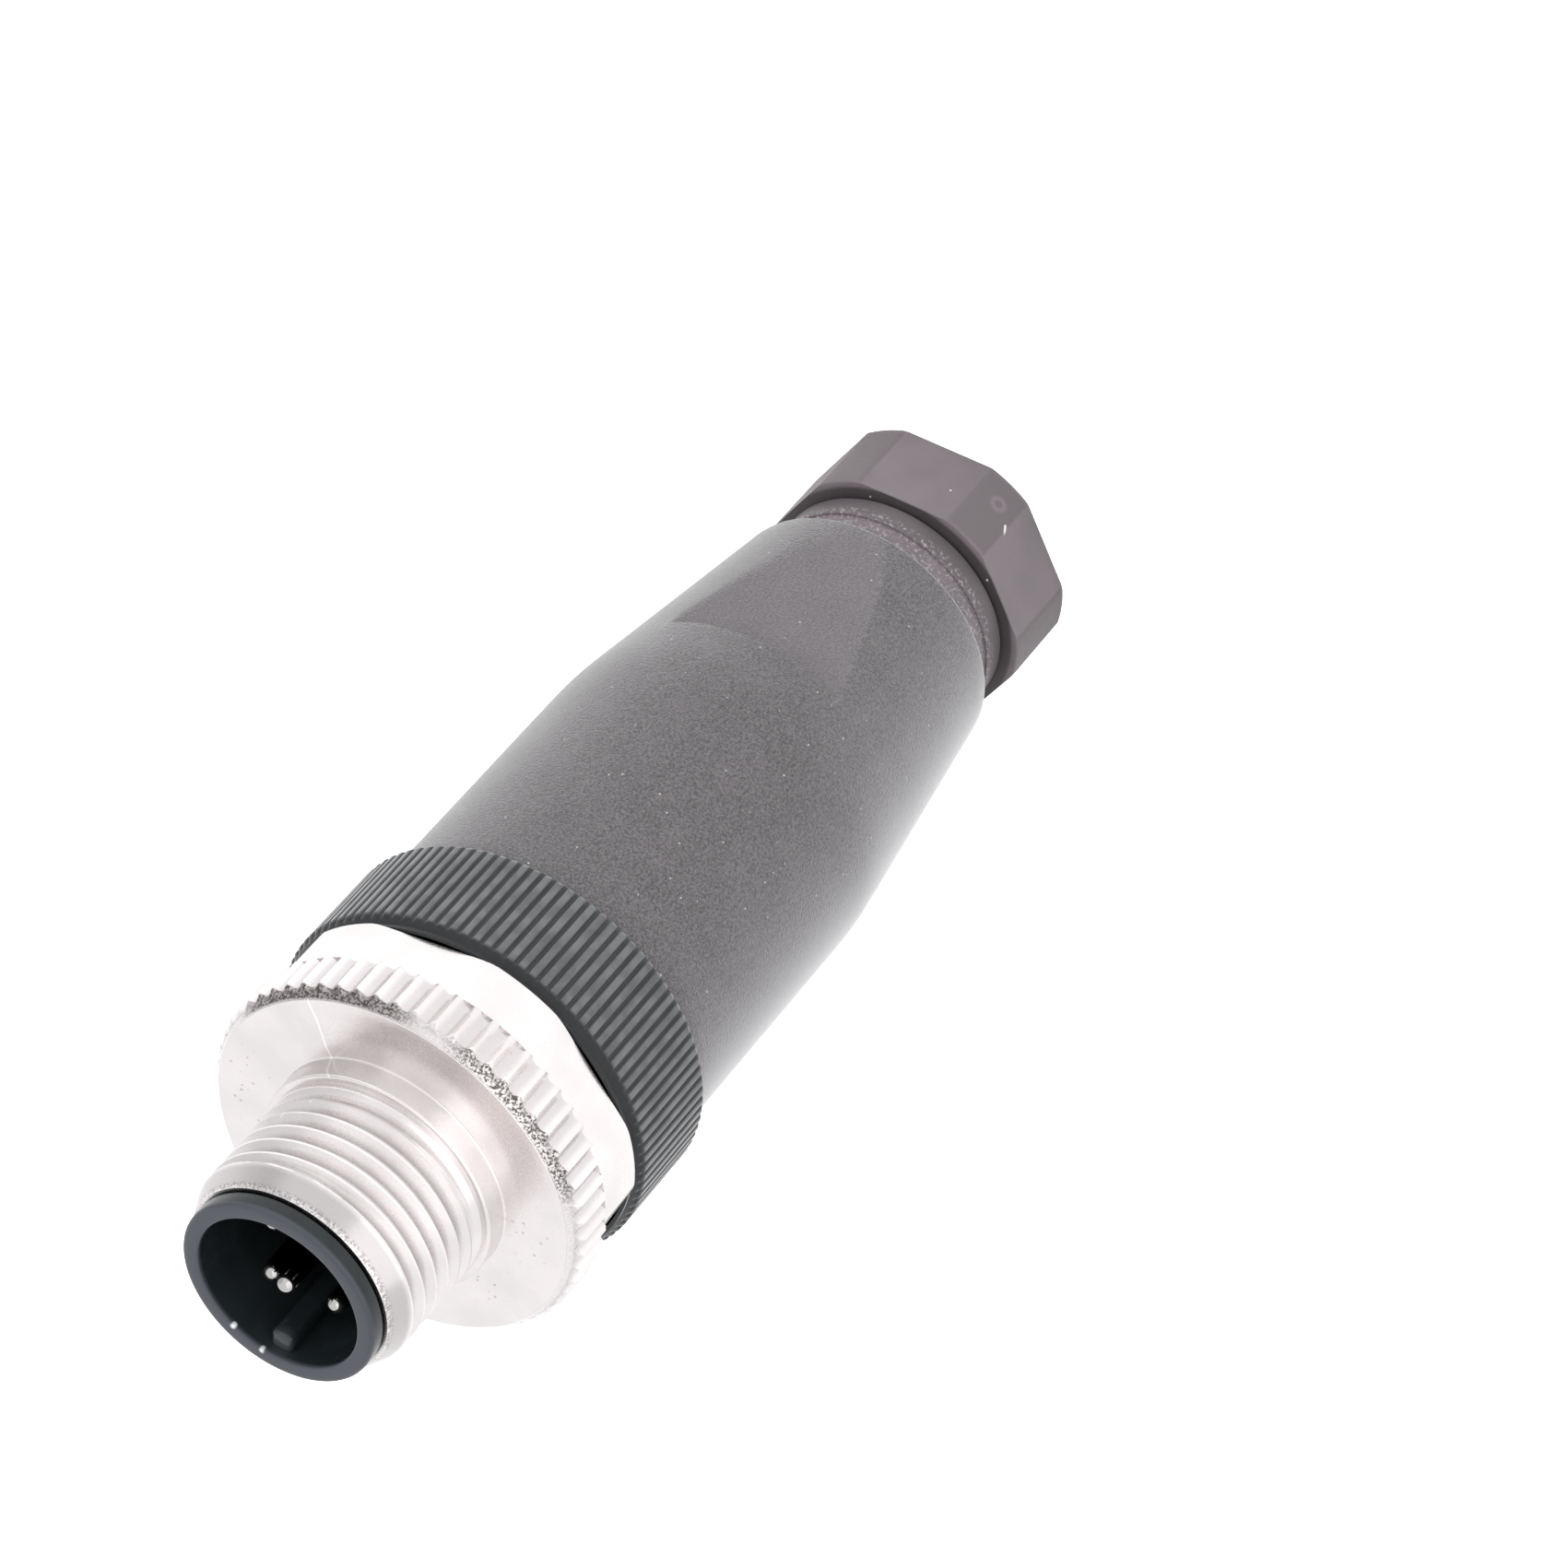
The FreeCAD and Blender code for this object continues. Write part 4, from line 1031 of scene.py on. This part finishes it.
class PLUG_OT_carrier(bpy.types.Operator):
    """Builds the contact carrier with shroud, key, ribbed flange, thread and core"""
    bl_idname = "plug.carrier"
    bl_label = "Contact carrier"

    def execute(self, context):
        bore, shroud, lip, land, thread_crest, core_radius = 4.35, 4.88, 5.24, 8.22, 7.8, 7.2
        key_half_width, key_foot = 0.575, 3.3
        rib_inner = sizes().rib_root / MM - 0.2
        shell = lathe("carrier_shell", [
            (0.0, CONTACT_FLOOR, 0.0), (bore, CONTACT_FLOOR, 0.2), (bore, RIM, 0.12),
            (lip, RIM, 0.25), (lip, LIP_BASE, 0.1), (shroud, LIP_BASE, 0.05),
            (shroud, FLANGE_TOP, 0.15), (rib_inner, FLANGE_TOP, 0.0),
            (rib_inner, FLANGE_BASE, 0.0), (land, FLANGE_BASE, 0.1), (land, SHELL_BASE, 0.0),
            (0.0, SHELL_BASE, 0.0)], segments=192, longest=3.0)
        ribs = grown("flange_ribs", "toothed_ring", {
            "Teeth": sizes().rib_count, "Samples": 8, "Rows": 62,
            "Crest Radius": sizes().rib_crest, "Root Radius": sizes().rib_root,
            "Inner Radius": RING_BORE * MM, "Crest Share": 0.48, "Flank Share": 0.30,
            "Hollow": 1.0, "Lower End": FLANGE_BASE * MM, "Upper End": FLANGE_TOP * MM,
            "Lower Bevel": 0.0002, "Lower Edge Radius": 0.0100,
            "Upper Bevel": 0.0006, "Upper Edge Radius": 0.00955,
        }, "shroud_plastic", FINE_EDGE)
        thread = grown("carrier_thread", "helical_thread", dict(FINE_THREAD, **{
            "Crest Radius": thread_crest * MM, "Root Radius": 0.00735, "Inner Radius": 0.0068,
            "Lower End": CARRIER_THREAD_BASE * MM, "Upper End": CARRIER_THREAD_TOP * MM,
            "Lead Radius": 0.00735}), "shroud_plastic", FINE_EDGE)
        key = rounded_block("coding_key", (-key_half_width, key_foot, CONTACT_FLOOR - 0.1),
                            (key_half_width, bore + 0.1, RIM - 0.5), 0.25)
        core = slimmed(solid_below("contact_carrier", CORE_TOP), thread_crest, core_radius)
        joined("contact_carrier_moulded", [shell, ribs, thread, key, core], "shroud_plastic",
               "carrier", "carrier_plastic", "contact_carrier")
        return {"FINISHED"}


class PLUG_OT_sleeve(bpy.types.Operator):
    """Builds the grained sleeve with its two spanner flats"""
    bl_idname = "plug.sleeve"
    bl_label = "Sleeve"

    def execute(self, context):
        outer = sizes().sleeve_radius / MM
        rear = sizes().sleeve_rear_radius / MM
        land, thread, room, web, chamber, rear_thread = 8.3, 7.85, 7.5, 4.3, 5.95, 6.45
        climb = (SLEEVE_FLAT_TOP - SLEEVE_BASE) / (SLEEVE_TAPER_TOP - SLEEVE_BASE)
        at_step = rear + (outer - rear) * climb
        rule = flats_rule(SLEEVE_BASE, SLEEVE_FLAT_TOP + 0.001, sizes().sleeve_flats,
                          [TURN / 4, -TURN / 4], softness=0.08, edge=0.2)
        shell = lathe("sleeve_shell", [
            (rear_thread, SLEEVE_BASE, 0.1), (rear, SLEEVE_BASE, 0.25),
            (at_step, SLEEVE_FLAT_TOP, 0.0), (at_step + 0.003, SLEEVE_FLAT_TOP + 0.02, 0.0),
            (outer, SLEEVE_TAPER_TOP, 24.0), (outer, SLEEVE_TOP, 0.2), (land, SLEEVE_TOP, 0.1),
            (land, SLEEVE_THREAD_TOP, 0.0), (thread, SLEEVE_THREAD_TOP, 0.0),
            (thread, SLEEVE_THREAD_BASE, 0.0), (room, SLEEVE_THREAD_BASE, 0.0),
            (room, SLEEVE_WEB_TOP, 0.2), (web, SLEEVE_WEB_TOP, 0.1), (web, SLEEVE_WEB_BASE, 0.1),
            (chamber, SLEEVE_WEB_BASE, 0.1), (chamber, SLEEVE_CHAMBER_BASE, 0.0),
            (rear_thread, SLEEVE_CHAMBER_BASE, 0.0)], segments=480, longest=1.0, rule=rule)
        joined("housing_sleeve_moulded", [shell], "grained_plastic", "sleeve", "sleeve_plastic",
               "housing_sleeve")
        return {"FINISHED"}


class PLUG_OT_gland(bpy.types.Operator):
    """Builds the pressing screw of the cable gland"""
    bl_idname = "plug.gland"
    bl_label = "Pressing screw"

    def execute(self, context):
        bore, cone, tip, core = 3.3, 4.4, 5.6, 6.0
        neck, thread_crest, collar, corner = 6.35, 6.4, 6.6, 7.5
        cone_foot = NUT_TIP - 1.9
        rule = flats_rule(-0.001, NUT_TOP + 0.001, sizes().nut_flats, hexagon(TURN / 4),
                          softness=0.025, edge=0.1)
        shell = lathe("pressing_shell", [
            (bore, 0.4, 0.1), (bore + 0.4, 0.0, 0.1), (corner - 0.12, 0.0, 0.08),
            (corner, 0.12, 0.08), (corner, NUT_TOP, 0.15), (neck, NUT_TOP, 0.0),
            (neck, NUT_TOP + 0.12, 0.0), (collar, NUT_TOP + 0.22, 0.1),
            (collar, NUT_COLLAR_TOP, 0.12), (thread_crest, NUT_COLLAR_TOP, 0.05),
            (thread_crest, SLEEVE_BASE, 0.0), (core, SLEEVE_BASE + 0.02, 0.0),
            (core, NUT_TIP - 0.05, 0.0), (tip, NUT_TIP, 0.0), (cone, cone_foot, 0.0),
            (bore, cone_foot, 0.0)], segments=360, longest=0.5, rule=rule)
        thread = grown("pressing_thread", "helical_thread", dict(FINE_THREAD, **{
            "Crest Radius": thread_crest * MM, "Root Radius": 0.00605, "Inner Radius": 0.0058,
            "Lower End": (SLEEVE_BASE - 0.05) * MM, "Upper End": NUT_TIP * MM,
            "Lead Radius": 0.006}), "nut_plastic", FINE_EDGE)
        joined("pressing_screw_moulded", [shell, thread], "nut_plastic", "gland_screw",
               "sleeve_plastic", "pressing_screw")
        return {"FINISHED"}


class PLUG_OT_contacts(bpy.types.Operator):
    """Builds the five contacts with ball-ended pins"""
    bl_idname = "plug.contacts"
    bl_label = "Contacts"

    def execute(self, context):
        radius = sizes().pin_radius / MM
        circle = sizes().pin_circle / MM
        for number in range(1, 6):
            angle = TURN / 8 + TURN / 4 * (number - 1)
            spot = (circle * math.cos(angle), circle * math.sin(angle))
            tip, block_top = RIM - 1.95, 32.6
            if number == 5:
                spot = (0.0, 0.0)
                tip, block_top = RIM - 0.4, 26.3
            outline = [(0.0, block_top - 0.3, 0.0), (radius, block_top - 0.3, 0.0)]
            for k in range(12):
                slope = TURN / 4 * k / 12
                outline.append((radius * math.cos(slope),
                                tip - radius + radius * math.sin(slope), 0.0))
            outline.append((0.0, tip, 0.0))
            pin = lathe("pin", outline, segments=64, longest=40.0, shift=spot)
            block = solid_below("contact_%d" % number, block_top + 0.2)
            mark_depth(pin, tip)
            mark_depth(block, tip)
            joined("contact_%d_turned" % number, [pin, block], "pin_plating", "carrier",
                   "contact_metal", "contact_%d" % number)
        return {"FINISHED"}


class PLUG_OT_inner_pieces(bpy.types.Operator):
    """Gives the seals, the clamp cage and the terminal screws their finishes"""
    bl_idname = "plug.inner_pieces"
    bl_label = "Inner pieces"

    def execute(self, context):
        finishes = {"clamp_cage": "cage_moulding", "cable_seal": "black_rubber",
                    "carrier_o_ring": "black_rubber"}
        for number in range(1, 6):
            finishes["terminal_screw_%d" % number] = "bright_steel"
        for name, material in finishes.items():
            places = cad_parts[name].material_slots
            if not places:
                raise RuntimeError("%s has no material slot" % name)
            for place in places:
                place.material = bpy.data.materials[material]
        return {"FINISHED"}


class PLUG_OT_stage(bpy.types.Operator):
    """Sets up the pale floor, the soft light and the camera"""
    bl_idname = "plug.stage"
    bl_label = "Stage"

    def execute(self, context):
        scene = context.scene
        stage = scene.plug_stage
        scene.view_settings.view_transform = "Standard"
        self.add_camera(scene)
        self.add_floor(stage)
        self.add_surround(scene, stage)
        key = self.add_light("key_light", KEY_OFFSET, stage.key_power)
        key.visible_glossy = False
        self.add_light("fill_light", FILL_OFFSET, stage.fill_power)
        return {"FINISHED"}

    def add_camera(self, scene):
        lens = bpy.data.cameras.new("photo_camera")
        lens.lens = CAMERA_LENS
        lens.sensor_width = CAMERA_SENSOR
        lens.clip_start = 0.01
        camera = linked("photo_camera", lens)
        turn = Matrix((CAMERA_RIGHT, CAMERA_UP, CAMERA_BACK)).transposed()
        camera.matrix_world = Matrix.Translation(CAMERA_PLACE) @ turn.to_4x4()
        scene.camera = camera

    def add_floor(self, stage):
        shape = bmesh.new()
        bmesh.ops.create_grid(shape, x_segments=4, y_segments=4, size=1.5)
        floor = linked("floor", mesh_from(shape, "floor"))
        floor_material(stage.floor_glow)
        floor.data.materials.append(bpy.data.materials["floor_white"])

    def add_surround(self, scene, stage):
        world = bpy.data.worlds.new("studio")
        world.use_nodes = True
        tree = world.node_tree
        way = node(tree, "ShaderNodeTexCoord").outputs["Generated"]
        light = stage.sky
        for azimuth, elevation, half_width, soft, darkness in DARK_CARDS:
            aim = Vector((math.cos(math.radians(elevation)), 0.0,
                          math.sin(math.radians(elevation))))
            aim.rotate(Matrix.Rotation(math.radians(azimuth), 3, "Z"))
            left = steps(tree, vectors(tree, "DOT_PRODUCT", way, aim),
                         math.cos(math.radians(half_width + soft)),
                         math.cos(math.radians(half_width - soft)), 1.0, 1.0 - darkness)
            light = times(tree, light, left)
        fill(tree, tree.nodes["Background"].inputs, {"Color": rgba(WHITE), "Strength": light})
        scene.world = world

    def add_light(self, name, offset, power):
        lamp = bpy.data.lights.new(name, "AREA")
        lamp.energy = power
        lamp.size = LIGHT_SIZE
        light = linked(name, lamp)
        aim = (-offset).to_track_quat("-Z", "Y")
        light.matrix_world = Matrix.Translation(LIGHT_AIM + offset) @ aim.to_matrix().to_4x4()
        return light


class PLUG_PT_panel(bpy.types.Panel):
    """Lists the pieces of the plug"""
    bl_idname = "PLUG_PT_panel"
    bl_label = "Cable plug"
    bl_space_type = "VIEW_3D"
    bl_region_type = "UI"
    bl_category = "Plug"

    def draw(self, context):
        for operator in OPERATORS:
            self.layout.operator(operator.bl_idname)
        for group in (context.scene.plug_sizes, context.scene.plug_colours,
                      context.scene.plug_stage):
            for key in group.__annotations__:
                self.layout.prop(group, key)


OPERATORS = (PLUG_OT_finishes, PLUG_OT_stage, PLUG_OT_coupling, PLUG_OT_carrier, PLUG_OT_sleeve,
             PLUG_OT_gland, PLUG_OT_contacts, PLUG_OT_inner_pieces)
GROUPS = (PlugSizes, PlugColours, PlugStage)


def register():
    for item in GROUPS + OPERATORS + (PLUG_PT_panel,):
        bpy.utils.register_class(item)
    bpy.types.Scene.plug_sizes = bpy.props.PointerProperty(type=PlugSizes)
    bpy.types.Scene.plug_colours = bpy.props.PointerProperty(type=PlugColours)
    bpy.types.Scene.plug_stage = bpy.props.PointerProperty(type=PlugStage)


def unregister():
    del bpy.types.Scene.plug_stage
    del bpy.types.Scene.plug_colours
    del bpy.types.Scene.plug_sizes
    for item in reversed(GROUPS + OPERATORS + (PLUG_PT_panel,)):
        bpy.utils.unregister_class(item)


def main():
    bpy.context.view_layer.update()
    register()
    for operator in OPERATORS:
        group, name = operator.bl_idname.split(".")
        getattr(getattr(bpy.ops, group), name)()


if __name__ == "__main__":
    main()
